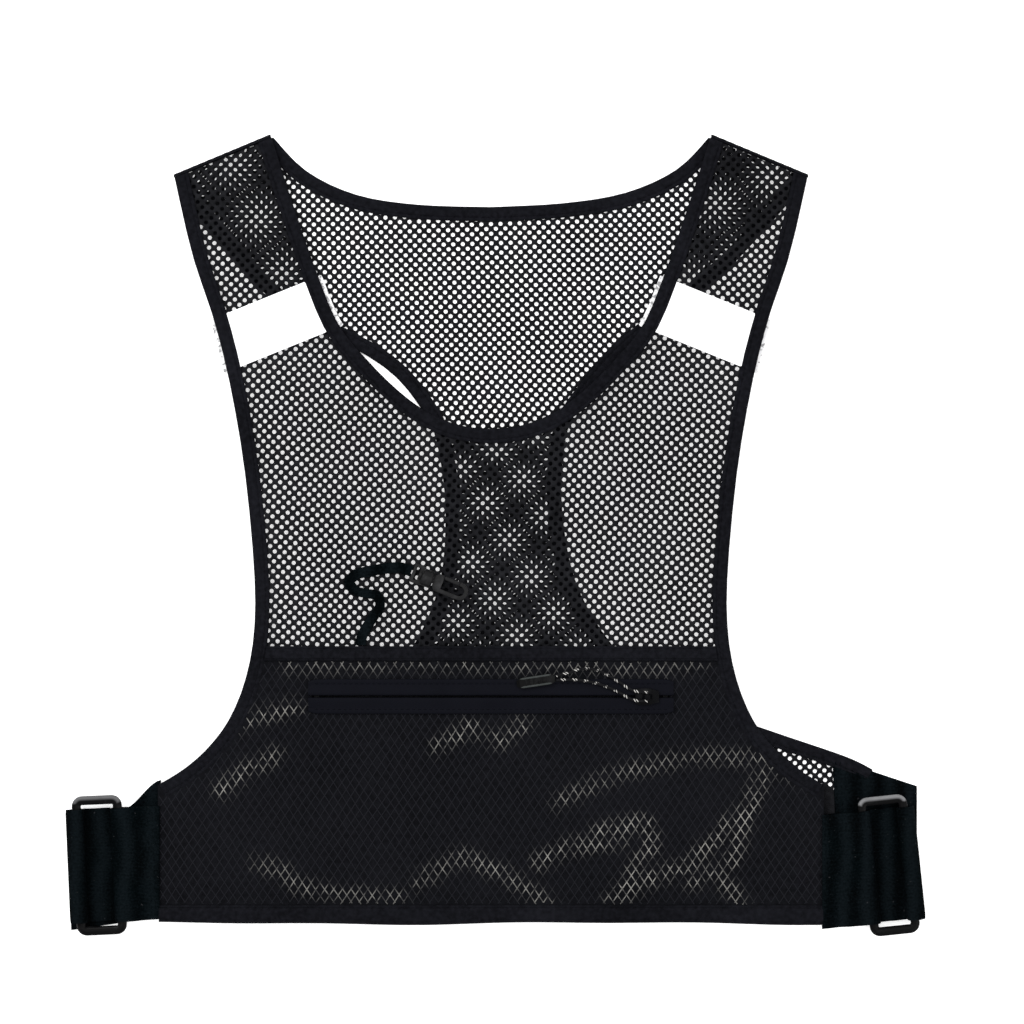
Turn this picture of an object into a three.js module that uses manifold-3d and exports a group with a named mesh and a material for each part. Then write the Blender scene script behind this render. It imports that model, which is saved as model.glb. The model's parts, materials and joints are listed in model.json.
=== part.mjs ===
// Lightweight mesh running vest, lying flat on its back: a racerback rear layer, a front layer with a
// zipped waist pocket, stretch side straps on rectangular rings, and a key leash with a swivel hook.
// Millimetres, +Z up. The vest's length runs along Y and its front faces +Z.
import * as THREE from "three";
import { mergeVertices } from "three/addons/utils/BufferGeometryUtils.js";
import Module from "manifold-3d";

const wasm = await Module();
wasm.setup();

// ---- Driving dimensions -------------------------------------------------------------------------
const HALF_WIDTH = 182; // front waist panel, centre line to side seam
const BODY_LENGTH = 433; // hem to the highest point of the shoulder
const GAP = 0.3; // between pieces that touch

const CLOTH = 0.9; // mesh and pocket cloth
const BINDING_WIDTH = 7.5;
const BINDING_HEIGHT = 2;
const HEM_WIDTH = 10;
const FOLD_WIDTH = 2; // rolled cloth over the shoulder
const REFLECTOR_HEIGHT = 0.7;
const REFLECTOR_WIDTH = 30;
const REFLECTOR_PLACE = [0.649, 0.76]; // middle of the reflector, in shares as the outlines are
const REFLECTOR_INNER = 0.3; // where its uncut band starts, in the same shares
const REFLECTOR_SLOPE = 22; // degrees, higher at the neck
const REAR_REFLECTOR_PROUD = 2; // past each binding

const BACK_DRIFT = 7; // the rear layer lies this far to the right below the shoulders
const BACK_TURN = 2.6; // degrees it has turned there
const BACK_PIVOT = 226.6; // height above the hem that it turned about
const BACK_SIDE = HALF_WIDTH + 14; // centre line to the end of a rear wing
const BACK_PULL = 5.2; // how far its left armhole is pulled in beside the neck
const PULL_REACH = 34; // from there to where the pull has faded

const POCKET_TOP = 152; // above the hem
const TOP_BAND = 8;
const ZIP_RISE = 124.5; // zip centre line above the hem
const ZIP_LENGTH = 200;
const ZIP_WIDTH = 19; // over both tapes
const ZIP_SLIT = 1.6;
const ZIP_TAPE = 0.8;
const COIL_WIDTH = 2.5;
const COIL_HEIGHT = 1;
const TAPE_LAP = 3.5; // tape sewn onto the pocket cloth
const STOP_LENGTH = 3;
const WINDOW_INSET = 2; // tape past each end of the pocket's window
const STOP_INSET = 1; // window's end to the stop
const SLIDER_REST = 2; // stop to the closed slider
const SLIDER_LENGTH = 13;
const SLIDER_WIDTH = 9;
const SLIDER_NOSE = 6.1; // width of its narrow end
const SLIDER_TAPER = 5; // length over which it narrows
const SLIDER_PLATE = 0.6;
const SLIDER_TOP = 1.2;
const SLIDER_NECK = 1;
const BAIL_WIDTH = 2.4;
const BAIL_WALL = 0.9;
const PULL_CORD = 1.6;
const TAB_LENGTH = 21.5;
const TAB_WIDTH = 6;
const TAB_HEIGHT = 2;
const TAB_CORNER = 2;

const STRAP_WIDTH = 62; // side elastic
const STRAP_THICKNESS = 2;
const LOOP_THICKNESS = 1.2;
const STRAP_RISE = 32; // centre of the side strap above the hem
const RING_WIDTH = 27.5;
const RING_LENGTH = 76.5;
const RING_BAR = 5;
const RING_HEIGHT = 4;
const RING_CORNER = 5;
const RING_EDGE = 1.2; // chamfer round the bars
const SLOT_CORNER = 1;
const BAR_CLEARANCE = 0.7; // lets the ring turn in its loops
const RING_REACH = { left: 32.5, right: 35.8 }; // side seam to the ring's centre
const RING_LEAN = { left: 2.5, right: 6 }; // degrees, top of the ring towards the left
const STRAP_SLACK = 5; // end loop past the outer bar's middle
const TAB_FLAT = 5; // of the side tab beside its seam, before it opens round the bar
const TAB_SLOPE = 7; // from the bar's middle to where the side tab starts to close
const STRAP_END_RISE = { left: 26.7, right: 43.9 }; // middle of the strap at its outer end

const LEASH_WIDTH = 6.4;
const LEASH_THICKNESS = 1.4;
const HOOK_WIDTH = 9.7;
const HOOK_LENGTH = 20;
const HOOK_BAR = 2.1;
const HOOK_HEIGHT = 2.4;
const BARREL_RADIUS = 4.8;
const BARREL_LENGTH = 6.4;
const SHANK_RADIUS = 1.5;
const SHANK_CLEARANCE = 0.4;
const SWIVEL_REACH = 9; // swivel's middle to the end of its eye
const SWIVEL_WALL = 1.7; // round the eye's slot
const SWIVEL_SLOT = 2;
const SWIVEL_PLATE = 1.8;
const LEASH_CLEARANCE = 0.4;
const TURN_CLEARANCE = 0.1; // hook's corners to the mesh as it turns over
const HOOK_TURN = -22; // degrees from +X

// ---- Heights of the layers ----------------------------------------------------------------------
const REAR_REFLECTOR_Z = BINDING_HEIGHT + GAP;
const FRONT_Z = REAR_REFLECTOR_Z + REFLECTOR_HEIGHT + GAP;
const ON_MESH_Z = FRONT_Z + CLOTH + GAP;
const COIL_Z = ON_MESH_Z + SLIDER_PLATE + GAP;
const POCKET_Z = COIL_Z + COIL_HEIGHT - CLOTH;
const TAPE_Z = COIL_Z + COIL_HEIGHT + GAP;
const ON_TAPE_Z = TAPE_Z + ZIP_TAPE + GAP;
const HEM_HEIGHT = POCKET_Z + CLOTH - FRONT_Z;
const LOOP_CAVITY = RING_HEIGHT / 2 + BAR_CLEARANCE; // half its height
const UNDER_RING = Math.max(STRAP_THICKNESS, BINDING_HEIGHT) + GAP;
const RING_Z = UNDER_RING + LOOP_THICKNESS + LOOP_CAVITY; // middle of the ring

// ---- Colours ------------------------------------------------------------------------------------
const MESH_BLACK = { color: 0x16171b, roughness: 0.85, metalness: 0 };
const BINDING_BLACK = { color: 0x0c0d10, roughness: 0.7, metalness: 0 };
const POCKET_BLACK = { color: 0x111217, roughness: 0.75, metalness: 0 };
const ZIP_GREY = { color: 0x1c1c24, roughness: 0.5, metalness: 0 };
const ELASTIC_BLACK = { color: 0x0e1114, roughness: 0.8, metalness: 0 };
const PLASTIC_BLACK = { color: 0x1a1a1c, roughness: 0.35, metalness: 0 };
const REFLECTOR_WHITE = { color: 0xf6f7f8, roughness: 0.4, metalness: 0 };
const METAL_DARK = { color: 0x2c2d31, roughness: 0.35, metalness: 0.8 };

// ---- Solids -------------------------------------------------------------------------------------
const point = (x, y) => new THREE.Vector2(x, y);
const radians = THREE.MathUtils.degToRad;

function toSolid(geometry) {
  const bare = geometry.clone();
  bare.deleteAttribute("normal");
  bare.deleteAttribute("uv");
  const merged = mergeVertices(bare, 1e-4);
  const vertProperties = Float32Array.from(merged.attributes.position.array);
  const triVerts = Uint32Array.from(merged.index.array);
  return new wasm.Manifold(new wasm.Mesh({ numProp: 3, vertProperties, triVerts }));
}

function toGeometry(solid) {
  const { vertProperties, triVerts } = solid.getMesh();
  const geometry = new THREE.BufferGeometry();
  geometry.setAttribute("position", new THREE.BufferAttribute(vertProperties, 3));
  geometry.setIndex(new THREE.BufferAttribute(triVerts, 1));
  geometry.computeVertexNormals();
  return geometry;
}

function piece(name, geometry, look) {
  const mesh = new THREE.Mesh(geometry, new THREE.MeshStandardMaterial(look));
  mesh.name = name;
  return mesh;
}

const wound = (line, clockwise) => {
  return THREE.ShapeUtils.isClockWise(line) === clockwise ? line : [...line].reverse();
};

// A flat plate with an outline of points, and holes that are lists of points
function plate(outline, low, height, holes = []) {
  const shape = new THREE.Shape(wound(outline, false));
  shape.holes = holes.map((hole) => new THREE.Path(wound(hole, true)));
  const geometry = new THREE.ExtrudeGeometry(shape, { depth: height, bevelEnabled: false });
  return geometry.translate(0, 0, low);
}

const CUT_HEIGHT = 30; // past every layer

// A solid with an outline that reaches through every layer
const column = (outline) => toSolid(plate(outline, -1, CUT_HEIGHT + 1));

function rectangle(x0, y0, x1, y1) {
  return [point(x0, y0), point(x1, y0), point(x1, y1), point(x0, y1)];
}

// A section drawn in X and Z, drawn out along Y about its middle
function drawnAlongY(outline, length, holes = []) {
  const geometry = plate(outline, -length / 2, length, holes);
  return geometry.rotateX(Math.PI / 2);
}

const smooth = (knots, steps) => new THREE.SplineCurve(knots).getPoints(steps);
const mirrored = (line) => line.map(({ x, y }) => point(-x, y));

// The line moved sideways, to the left of its direction
function beside(line, distance) {
  return line.map(({ x, y }, i) => {
    const before = line[Math.max(i - 1, 0)];
    const after = line[Math.min(i + 1, line.length - 1)];
    const along = point(after.x - before.x, after.y - before.y).normalize();
    return point(x - along.y * distance, y + along.x * distance);
  });
}

const strip = (line, width) => [...line, ...beside(line, width).reverse()];

// ---- Outlines, in shares of the front's half width and length -----------------------------------
const at = ([across, up]) => point(across * HALF_WIDTH, up * BODY_LENGTH);
const SHOULDER_OUTER = at([0.956, 0.949]);
const SHOULDER_NECK = at([0.665, 1]);

const frontArmhole = smooth(
  [
    at([1, 0.176]),
    at([0.923, 0.196]),
    at([0.851, 0.223]),
    at([0.788, 0.259]),
    at([0.74, 0.309]),
    at([0.714, 0.37]),
    at([0.714, 0.448]),
    at([0.742, 0.572]),
    at([0.786, 0.681]),
    at([0.835, 0.764]),
    at([0.901, 0.848]),
    SHOULDER_OUTER,
  ],
  30,
);
const frontNeck = smooth(
  [
    SHOULDER_NECK,
    at([0.596, 0.91]),
    at([0.523, 0.822]),
    at([0.459, 0.758]),
    at([0.374, 0.714]),
    at([0.286, 0.677]),
    at([0.198, 0.649]),
    at([0.099, 0.631]),
    at([0, 0.626]),
  ],
  22,
);
const BACK_HEM_RISE = 12; // rear hem above the front hem
const WING_TOP = BACK_HEM_RISE + STRAP_WIDTH + 1;
const backArmhole = smooth(
  [
    point(BACK_SIDE, WING_TOP),
    point(0.995 * HALF_WIDTH, WING_TOP + 8),
    at([0.775, 0.228]),
    at([0.52, 0.272]),
    at([0.33, 0.335]),
    at([0.21, 0.425]),
    at([0.176, 0.527]),
    at([0.198, 0.612]),
    at([0.258, 0.656]),
    at([0.407, 0.721]),
    at([0.681, 0.806]),
    at([0.879, 0.898]),
    SHOULDER_OUTER,
  ],
  52,
);
const backNeck = smooth(
  [SHOULDER_NECK, at([0.56, 0.955]), at([0.407, 0.925]), at([0.22, 0.912]), at([0, 0.908])],
  16,
);

// How the rear layer lies: below the shoulders it has drifted and turned a little, and its left
// armhole is pulled in, which opens a slit beside the front neckline
const PULL_PLACE = at([-0.308, 0.684]);

function settled({ x, y }) {
  const share = 1 - THREE.MathUtils.smoothstep(y, 0.76 * BODY_LENGTH, 0.98 * BODY_LENGTH);
  const turned = point(x, y - BACK_PIVOT).rotateAround(point(0, 0), radians(BACK_TURN * share));
  const place = point(turned.x + BACK_DRIFT * share, turned.y + BACK_PIVOT);
  const gap = place.distanceTo(PULL_PLACE) / PULL_REACH;
  const pull = BACK_PULL * Math.exp(-gap * gap) * Math.SQRT1_2;
  return place.add(point(pull, pull));
}

const settledLine = (line) => line.map(settled);

// Above the fold line of each shoulder, less what the rolled fold takes
function shoulderCut() {
  const down = FOLD_WIDTH + GAP;
  const along = SHOULDER_OUTER.clone().sub(SHOULDER_NECK).normalize();
  const inner = SHOULDER_NECK.clone().addScaledVector(along, -20);
  const outer = SHOULDER_OUTER.clone().addScaledVector(along, 30);
  const right = [
    point(inner.x, inner.y - down),
    point(outer.x, outer.y - down),
    point(outer.x, outer.y + 60),
    point(inner.x, inner.y + 40),
  ];
  return [right, mirrored(right)].map(column);
}

const SHOULDER_CUTS = shoulderCut();

function cutBy(solid, cutters) {
  return cutters.reduce((left, cutter) => left.subtract(cutter), solid);
}

const boundStrip = (line, low, height) => {
  return cutBy(toSolid(plate(strip(line, BINDING_WIDTH), low, height)), SHOULDER_CUTS);
};

// ---- Rear layer ---------------------------------------------------------------------------------
function backOutline() {
  const side = [point(BACK_SIDE, BACK_HEM_RISE), ...backArmhole, ...backNeck];
  return settledLine([...side, ...mirrored(side).reverse().slice(1)]);
}

const hemLine = (half, rise, steps) => {
  return Array.from({ length: steps + 1 }, (_, i) => point(half * ((2 * i) / steps - 1), rise));
};

function rearLayer() {
  const right = settledLine(backArmhole);
  const left = settledLine(mirrored(backArmhole)).reverse();
  const neck = settledLine([...backNeck, ...mirrored(backNeck).reverse().slice(1)]);
  const hem = settledLine(hemLine(BACK_SIDE, BACK_HEM_RISE, 8));
  const inset = BINDING_WIDTH + GAP;
  const borders = [
    column(strip(right, inset)),
    column(strip(left, inset)),
    column(strip(neck, inset)),
    column(strip(hem, HEM_WIDTH + GAP)),
  ];
  const mesh = cutBy(toSolid(plate(backOutline(), 0, CLOTH)), [...borders, ...SHOULDER_CUTS]);
  return [
    piece("back_mesh", toGeometry(mesh), MESH_BLACK),
    piece("back_neck_binding", toGeometry(boundStrip(neck, 0, BINDING_HEIGHT)), BINDING_BLACK),
    piece("back_armhole_binding_left", toGeometry(boundStrip(left, 0, BINDING_HEIGHT)), BINDING_BLACK),
    piece("back_armhole_binding_right", toGeometry(boundStrip(right, 0, BINDING_HEIGHT)), BINDING_BLACK),
    piece("back_hem_binding", plate(strip(hem, HEM_WIDTH), 0, BINDING_HEIGHT), BINDING_BLACK),
  ];
}

// ---- Front layer --------------------------------------------------------------------------------
const FRONT_SIDE = [point(HALF_WIDTH, 0), ...frontArmhole];

function frontOutline() {
  const side = [...FRONT_SIDE, ...frontNeck];
  return [...side, ...mirrored(side).reverse().slice(1)];
}

function frontBorders() {
  const inset = BINDING_WIDTH + GAP;
  const neck = [...frontNeck, ...mirrored(frontNeck).reverse().slice(1)];
  const hem = rectangle(-HALF_WIDTH - 1, -1, HALF_WIDTH + 1, HEM_WIDTH + GAP);
  return [
    column(strip(frontArmhole, inset)),
    column(strip(mirrored(frontArmhole).reverse(), inset)),
    column(strip(neck, inset)),
    column(hem),
  ];
}

const pastSides = [-1, 1].map((side) => {
  const [x0, x1] = side < 0 ? [-2 * HALF_WIDTH, -HALF_WIDTH] : [HALF_WIDTH, 2 * HALF_WIDTH];
  return column(rectangle(x0, 0, x1, POCKET_TOP));
});

function frontLayer() {
  const borders = frontBorders();
  const neck = [...frontNeck, ...mirrored(frontNeck).reverse().slice(1)];
  const mesh = cutBy(toSolid(plate(frontOutline(), FRONT_Z, CLOTH)), [...borders, ...SHOULDER_CUTS]);
  const armhole = (line) => toGeometry(cutBy(boundStrip(line, FRONT_Z, BINDING_HEIGHT), pastSides));
  const hem = rectangle(-HALF_WIDTH, 0, HALF_WIDTH, HEM_WIDTH);
  return [
    piece("front_mesh", toGeometry(mesh), MESH_BLACK),
    piece("front_neck_binding", toGeometry(boundStrip(neck, FRONT_Z, BINDING_HEIGHT)), BINDING_BLACK),
    piece("front_armhole_binding_left", armhole(mirrored(frontArmhole).reverse()), BINDING_BLACK),
    piece("front_armhole_binding_right", armhole(frontArmhole), BINDING_BLACK),
    piece("hem_binding", plate(hem, FRONT_Z, HEM_HEIGHT), BINDING_BLACK),
  ];
}

function shoulderFold(name, side) {
  const ends = [SHOULDER_NECK, SHOULDER_OUTER].map(({ x, y }) => point(side * x, y));
  const outline = [...ends, ...ends.map(({ x, y }) => point(x, y - FOLD_WIDTH)).reverse()];
  return piece(name, plate(outline, 0, FRONT_Z + BINDING_HEIGHT), MESH_BLACK);
}

// ---- Pocket and zip -----------------------------------------------------------------------------
const WINDOW_LENGTH = ZIP_LENGTH - 2 * WINDOW_INSET;
const WINDOW_WIDTH = ZIP_WIDTH - 2 * TAPE_LAP;

function pocket() {
  const top = POCKET_TOP - TOP_BAND - GAP;
  const window = rectangle(
    -WINDOW_LENGTH / 2,
    ZIP_RISE - WINDOW_WIDTH / 2,
    WINDOW_LENGTH / 2,
    ZIP_RISE + WINDOW_WIDTH / 2,
  );
  const above = column(rectangle(-HALF_WIDTH, top, HALF_WIDTH, BODY_LENGTH + 1));
  const borders = frontBorders();
  const panel = cutBy(toSolid(plate(frontOutline(), POCKET_Z, CLOTH, [window])), [...borders, above]);
  const bandBox = rectangle(-HALF_WIDTH, POCKET_TOP - TOP_BAND, HALF_WIDTH, POCKET_TOP);
  const bandHeight = POCKET_Z + CLOTH - ON_MESH_Z;
  const band = cutBy(toSolid(plate(bandBox, ON_MESH_Z, bandHeight)), borders.slice(0, 2));
  const reach = column(frontOutline());
  return [
    piece("pocket_panel", toGeometry(panel), POCKET_BLACK),
    piece("pocket_top_band", toGeometry(band.intersect(reach)), BINDING_BLACK),
  ];
}

const STOP_PLACE = WINDOW_LENGTH / 2 - STOP_INSET - STOP_LENGTH / 2;

function zipHalf(which, side) {
  const slit = ZIP_SLIT / 2;
  const tape = rectangle(-ZIP_LENGTH / 2, slit, ZIP_LENGTH / 2, ZIP_WIDTH / 2);
  const coilHalf = STOP_PLACE - STOP_LENGTH / 2 - GAP;
  const coil = rectangle(-coilHalf, slit, coilHalf, slit + COIL_WIDTH);
  const placed = (outline) => outline.map(({ x, y }) => point(x, ZIP_RISE + side * y));
  return [
    piece(`zip_tape_${which}`, plate(placed(tape), TAPE_Z, ZIP_TAPE), ZIP_GREY),
    piece(`zip_coil_${which}`, plate(placed(coil), COIL_Z, COIL_HEIGHT), ZIP_GREY),
  ];
}

function zipStop(name, side) {
  const x = side * STOP_PLACE;
  const half = ZIP_SLIT / 2 + COIL_WIDTH;
  const outline = rectangle(x - STOP_LENGTH / 2, ZIP_RISE - half, x + STOP_LENGTH / 2, ZIP_RISE + half);
  return piece(name, plate(outline, COIL_Z, COIL_HEIGHT), METAL_DARK);
}

const SLIDER_X = STOP_PLACE - STOP_LENGTH / 2 - SLIDER_REST - SLIDER_LENGTH / 2;
const SLIDER_FACE = ON_TAPE_Z + SLIDER_TOP;
const EYE_HEIGHT = PULL_CORD + 2 * GAP;
const PIVOT_Z = SLIDER_FACE + EYE_HEIGHT / 2;

function sliderPlate(low, height) {
  const end = SLIDER_LENGTH / 2;
  const half = SLIDER_WIDTH / 2;
  const outline = [
    point(-end, -half + 1),
    point(-end + 1, -half),
    point(end - SLIDER_TAPER, -half),
    point(end, -SLIDER_NOSE / 2),
    point(end, SLIDER_NOSE / 2),
    point(end - SLIDER_TAPER, half),
    point(-end + 1, half),
    point(-end, half - 1),
  ];
  return toSolid(plate(outline, low, height));
}

function zipSlider() {
  const top = sliderPlate(ON_TAPE_Z, SLIDER_TOP);
  const bottom = sliderPlate(ON_MESH_Z, SLIDER_PLATE);
  const neckHeight = ON_TAPE_Z - ON_MESH_Z;
  const neckBox = rectangle(0, -SLIDER_NECK / 2, SLIDER_TAPER, SLIDER_NECK / 2);
  const neck = toSolid(plate(neckBox, ON_MESH_Z + 0.1, neckHeight));
  const wall = EYE_HEIGHT / 2 + BAIL_WALL;
  const arch = [
    point(-wall - 1, SLIDER_FACE - 0.2),
    point(wall + 1, SLIDER_FACE - 0.2),
    point(wall, SLIDER_FACE + EYE_HEIGHT),
    point(wall - 0.8, SLIDER_FACE + EYE_HEIGHT + BAIL_WALL),
    point(-wall + 0.8, SLIDER_FACE + EYE_HEIGHT + BAIL_WALL),
    point(-wall, SLIDER_FACE + EYE_HEIGHT),
  ];
  const eye = rectangle(-EYE_HEIGHT / 2, SLIDER_FACE, EYE_HEIGHT / 2, SLIDER_FACE + EYE_HEIGHT);
  const bail = toSolid(drawnAlongY(arch, BAIL_WIDTH, [eye]));
  const solid = top.add(bottom).add(neck).add(bail);
  const slider = piece("zip_slider", toGeometry(solid), METAL_DARK);
  slider.position.set(SLIDER_X, ZIP_RISE, 0);
  return slider;
}

// The pull: a cord loop through the bail and a moulded tab, lying to the left over the zip
const TAB_Z = ON_TAPE_Z + TAB_HEIGHT / 2;
const TAB_TURN = 8.5; // degrees
const TAB_END = { x: -50, y: 10.2 }; // where the cord enters the tab, from the slider

const STRAND_GAP = BAIL_WIDTH / 2 + GAP + PULL_CORD / 2;
const SECTION_SIDES = 8;

function cordSection(radius) {
  const turn = (2 * Math.PI) / SECTION_SIDES;
  const corners = Array.from({ length: SECTION_SIDES }, (_, i) => {
    return point(radius, 0).rotateAround(point(0, 0), i * turn);
  });
  return new THREE.Shape(corners);
}

// One strand, from beside the bail to the tab
function pullStrand(route) {
  const curve = new THREE.CatmullRomCurve3(route.map((place) => new THREE.Vector3(...place)));
  const settings = { steps: 20, extrudePath: curve, bevelEnabled: false };
  return toSolid(new THREE.ExtrudeGeometry(cordSection(PULL_CORD / 2), settings));
}

function pullCord() {
  const upper = pullStrand([
    [0.2, STRAND_GAP, PIVOT_Z],
    [-3.5, STRAND_GAP + 0.3, PIVOT_Z],
    [-8.5, 3.8, PIVOT_Z],
    [-16, 8.5, TAB_Z + 0.4],
    [-26, 14, TAB_Z],
    [-35, 15.3, TAB_Z],
    [-43, 13, TAB_Z],
    [TAB_END.x + GAP, TAB_END.y + 1.2, TAB_Z],
  ]);
  const lower = pullStrand([
    [0.2, -STRAND_GAP, PIVOT_Z],
    [-3.5, -STRAND_GAP, PIVOT_Z],
    [-8.5, -1.4, PIVOT_Z],
    [-16, 2.8, TAB_Z + 0.4],
    [-26, 6.8, TAB_Z],
    [-35, 8.8, TAB_Z],
    [-43, 9.3, TAB_Z],
    [TAB_END.x + GAP, TAB_END.y - 1.2, TAB_Z],
  ]);
  const reach = STRAND_GAP + PULL_CORD * 0.3;
  const radius = PULL_CORD / 2;
  const across = new THREE.CylinderGeometry(radius, radius, 2 * reach, 12).translate(0, 0, PIVOT_Z);
  const cord = piece("pull_cord", toGeometry(upper.add(lower).add(toSolid(across))), BINDING_BLACK);
  cord.position.set(SLIDER_X, ZIP_RISE, 0);
  return cord;
}

function pullTab() {
  const half = TAB_WIDTH / 2;
  const outline = [
    point(0, -half * 0.7),
    point(0, half * 0.7),
    point(-TAB_CORNER - 1, half),
    point(-TAB_LENGTH + TAB_CORNER, half),
    point(-TAB_LENGTH, half - TAB_CORNER),
    point(-TAB_LENGTH, -half + TAB_CORNER),
    point(-TAB_LENGTH + TAB_CORNER, -half),
    point(-TAB_CORNER - 1, -half),
  ];
  const tab = piece("pull_tab", plate(outline, -TAB_HEIGHT / 2, TAB_HEIGHT), PLASTIC_BLACK);
  tab.position.set(SLIDER_X + TAB_END.x - GAP, ZIP_RISE + TAB_END.y, TAB_Z);
  tab.rotation.z = radians(TAB_TURN);
  return tab;
}

// ---- Reflective bands ---------------------------------------------------------------------------
// A sloping band across one strap, cut to the strap less an inset; a negative inset stands proud
function reflector(name, side, low, proud) {
  const middle = at(REFLECTOR_PLACE);
  const slope = Math.tan(radians(REFLECTOR_SLOPE));
  const inner = REFLECTOR_INNER * HALF_WIDTH;
  const rise = (x) => middle.y - (x - middle.x) * slope;
  const half = REFLECTOR_WIDTH / 2 / Math.cos(radians(REFLECTOR_SLOPE));
  const band = [
    point(inner, rise(inner) - half),
    point(HALF_WIDTH, rise(HALF_WIDTH) - half),
    point(HALF_WIDTH, rise(HALF_WIDTH) + half),
    point(inner, rise(inner) + half),
  ];
  const edge = proud ? REAR_REFLECTOR_PROUD : -BINDING_WIDTH - GAP;
  const armhole = beside(frontArmhole.filter(({ y }) => y > POCKET_TOP), -edge);
  const neck = beside(frontNeck, -edge);
  const outline = [...armhole, ...neck].map(({ x, y }) => point(side * x, y));
  const strap = toSolid(plate(outline, low - 1, REFLECTOR_HEIGHT + 2));
  const cut = toSolid(plate(band.map(({ x, y }) => point(side * x, y)), low, REFLECTOR_HEIGHT));
  return piece(name, toGeometry(cut.intersect(strap)), REFLECTOR_WHITE);
}

// ---- Side straps and rings ----------------------------------------------------------------------
// A closed loop of webbing round a bar: outline and cavity in X and Z about the bar's middle
function loopSection(cavityIn, cavityOut) {
  const outer = LOOP_CAVITY + LOOP_THICKNESS;
  const box = (left, right, height) => [
    point(left, -height + 1.2),
    point(left + 1.2, -height),
    point(right - 1.8, -height),
    point(right, -height + 2),
    point(right, height - 2),
    point(right - 1.8, height),
    point(left + 1.2, height),
    point(left, height - 1.2),
  ];
  const outline = box(-cavityIn - LOOP_THICKNESS, cavityOut + LOOP_THICKNESS, outer);
  return { outline, cavity: box(-cavityIn, cavityOut, LOOP_CAVITY) };
}

function ringSolid() {
  const rounded = (width, length, corner) => {
    const shape = new THREE.Shape();
    const x = width / 2;
    const y = length / 2;
    shape.moveTo(-x + corner, -y);
    shape.lineTo(x - corner, -y);
    shape.absarc(x - corner, -y + corner, corner, -Math.PI / 2, 0);
    shape.absarc(x - corner, y - corner, corner, 0, Math.PI / 2);
    shape.absarc(-x + corner, y - corner, corner, Math.PI / 2, Math.PI);
    shape.absarc(-x + corner, -y + corner, corner, Math.PI, Math.PI * 1.5);
    return shape;
  };
  const bevel = RING_EDGE;
  const shape = rounded(RING_WIDTH - 2 * bevel, RING_LENGTH - 2 * bevel, RING_CORNER - bevel);
  const slotWidth = RING_WIDTH - 2 * RING_BAR + 2 * bevel;
  const slotLength = RING_LENGTH - 2 * RING_BAR + 2 * bevel;
  shape.holes = [rounded(slotWidth, slotLength, SLOT_CORNER + bevel)];
  const depth = RING_HEIGHT - 2 * bevel;
  const geometry = new THREE.ExtrudeGeometry(shape, {
    depth,
    bevelThickness: bevel,
    bevelSize: bevel,
    bevelSegments: 1,
    curveSegments: 4,
  });
  return geometry.translate(0, 0, -depth / 2);
}

function sideSet(which, side) {
  const group = new THREE.Group();
  group.position.set(side * (HALF_WIDTH + RING_REACH[which]), STRAP_RISE, RING_Z);
  group.rotation.z = radians(RING_LEAN[which]);
  const barPlace = RING_WIDTH / 2 - RING_BAR / 2;
  const clear = RING_BAR / 2 + GAP;

  // End of the side strap, round the ring's outer bar, with its lower run carried on under the slot
  const end = loopSection(clear, STRAP_SLACK);
  const tabWall = -barPlace + clear + LOOP_THICKNESS;
  const runEnd = tabWall + GAP - barPlace;
  const runTop = -LOOP_CAVITY;
  const endOutline = [
    point(runEnd, runTop - LOOP_THICKNESS),
    ...end.outline.slice(2),
    point(-clear - LOOP_THICKNESS, runTop),
    point(runEnd, runTop),
  ];
  const toOuter = ({ x, y }) => point(side * (barPlace + x), y);
  const endGeometry = drawnAlongY(endOutline.map(toOuter), STRAP_WIDTH, [end.cavity.map(toOuter)]);
  group.add(piece(`ring_${which}`, ringSolid(), PLASTIC_BLACK));
  group.add(piece(`strap_end_${which}`, endGeometry, ELASTIC_BLACK));

  // Tab sewn to the front layer's side seam, round the ring's inner bar
  const seam = RING_REACH[which];
  const half = LOOP_CAVITY + LOOP_THICKNESS;
  const low = FRONT_Z - RING_Z;
  const high = POCKET_Z + CLOTH - RING_Z;
  const middle = (low + high) / 2;
  const past = TAB_FLAT + TAB_SLOPE; // cut off at the seam below
  const tab = [
    point(-seam - past, low),
    point(-seam + TAB_FLAT, low),
    point(-barPlace - TAB_SLOPE, -half),
    point(-barPlace + clear - 1, -half),
    point(-barPlace + clear + LOOP_THICKNESS, -half + 2),
    point(-barPlace + clear + LOOP_THICKNESS, half - 2),
    point(-barPlace + clear - 1, half),
    point(-barPlace - TAB_SLOPE, half),
    point(-seam + TAB_FLAT, high),
    point(-seam - past, high),
  ];
  const cavity = [
    point(-seam + TAB_FLAT + 4, middle),
    point(-barPlace - TAB_SLOPE + 1, -LOOP_CAVITY),
    point(-barPlace + clear, -LOOP_CAVITY),
    point(-barPlace + clear, LOOP_CAVITY),
    point(-barPlace - TAB_SLOPE + 1, LOOP_CAVITY),
  ];
  const handed = ({ x, y }) => point(side * x, y);
  const whole = drawnAlongY(tab.map(handed), STRAP_WIDTH, [cavity.map(handed)]);
  group.updateMatrix();
  whole.applyMatrix4(group.matrix);
  const inside = HALF_WIDTH + GAP;
  const body = column(rectangle(-inside, -BODY_LENGTH, inside, BODY_LENGTH));
  const trimmed = toSolid(whole).subtract(body);
  return [group, piece(`side_tab_${which}`, toGeometry(trimmed), ELASTIC_BLACK)];
}

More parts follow.
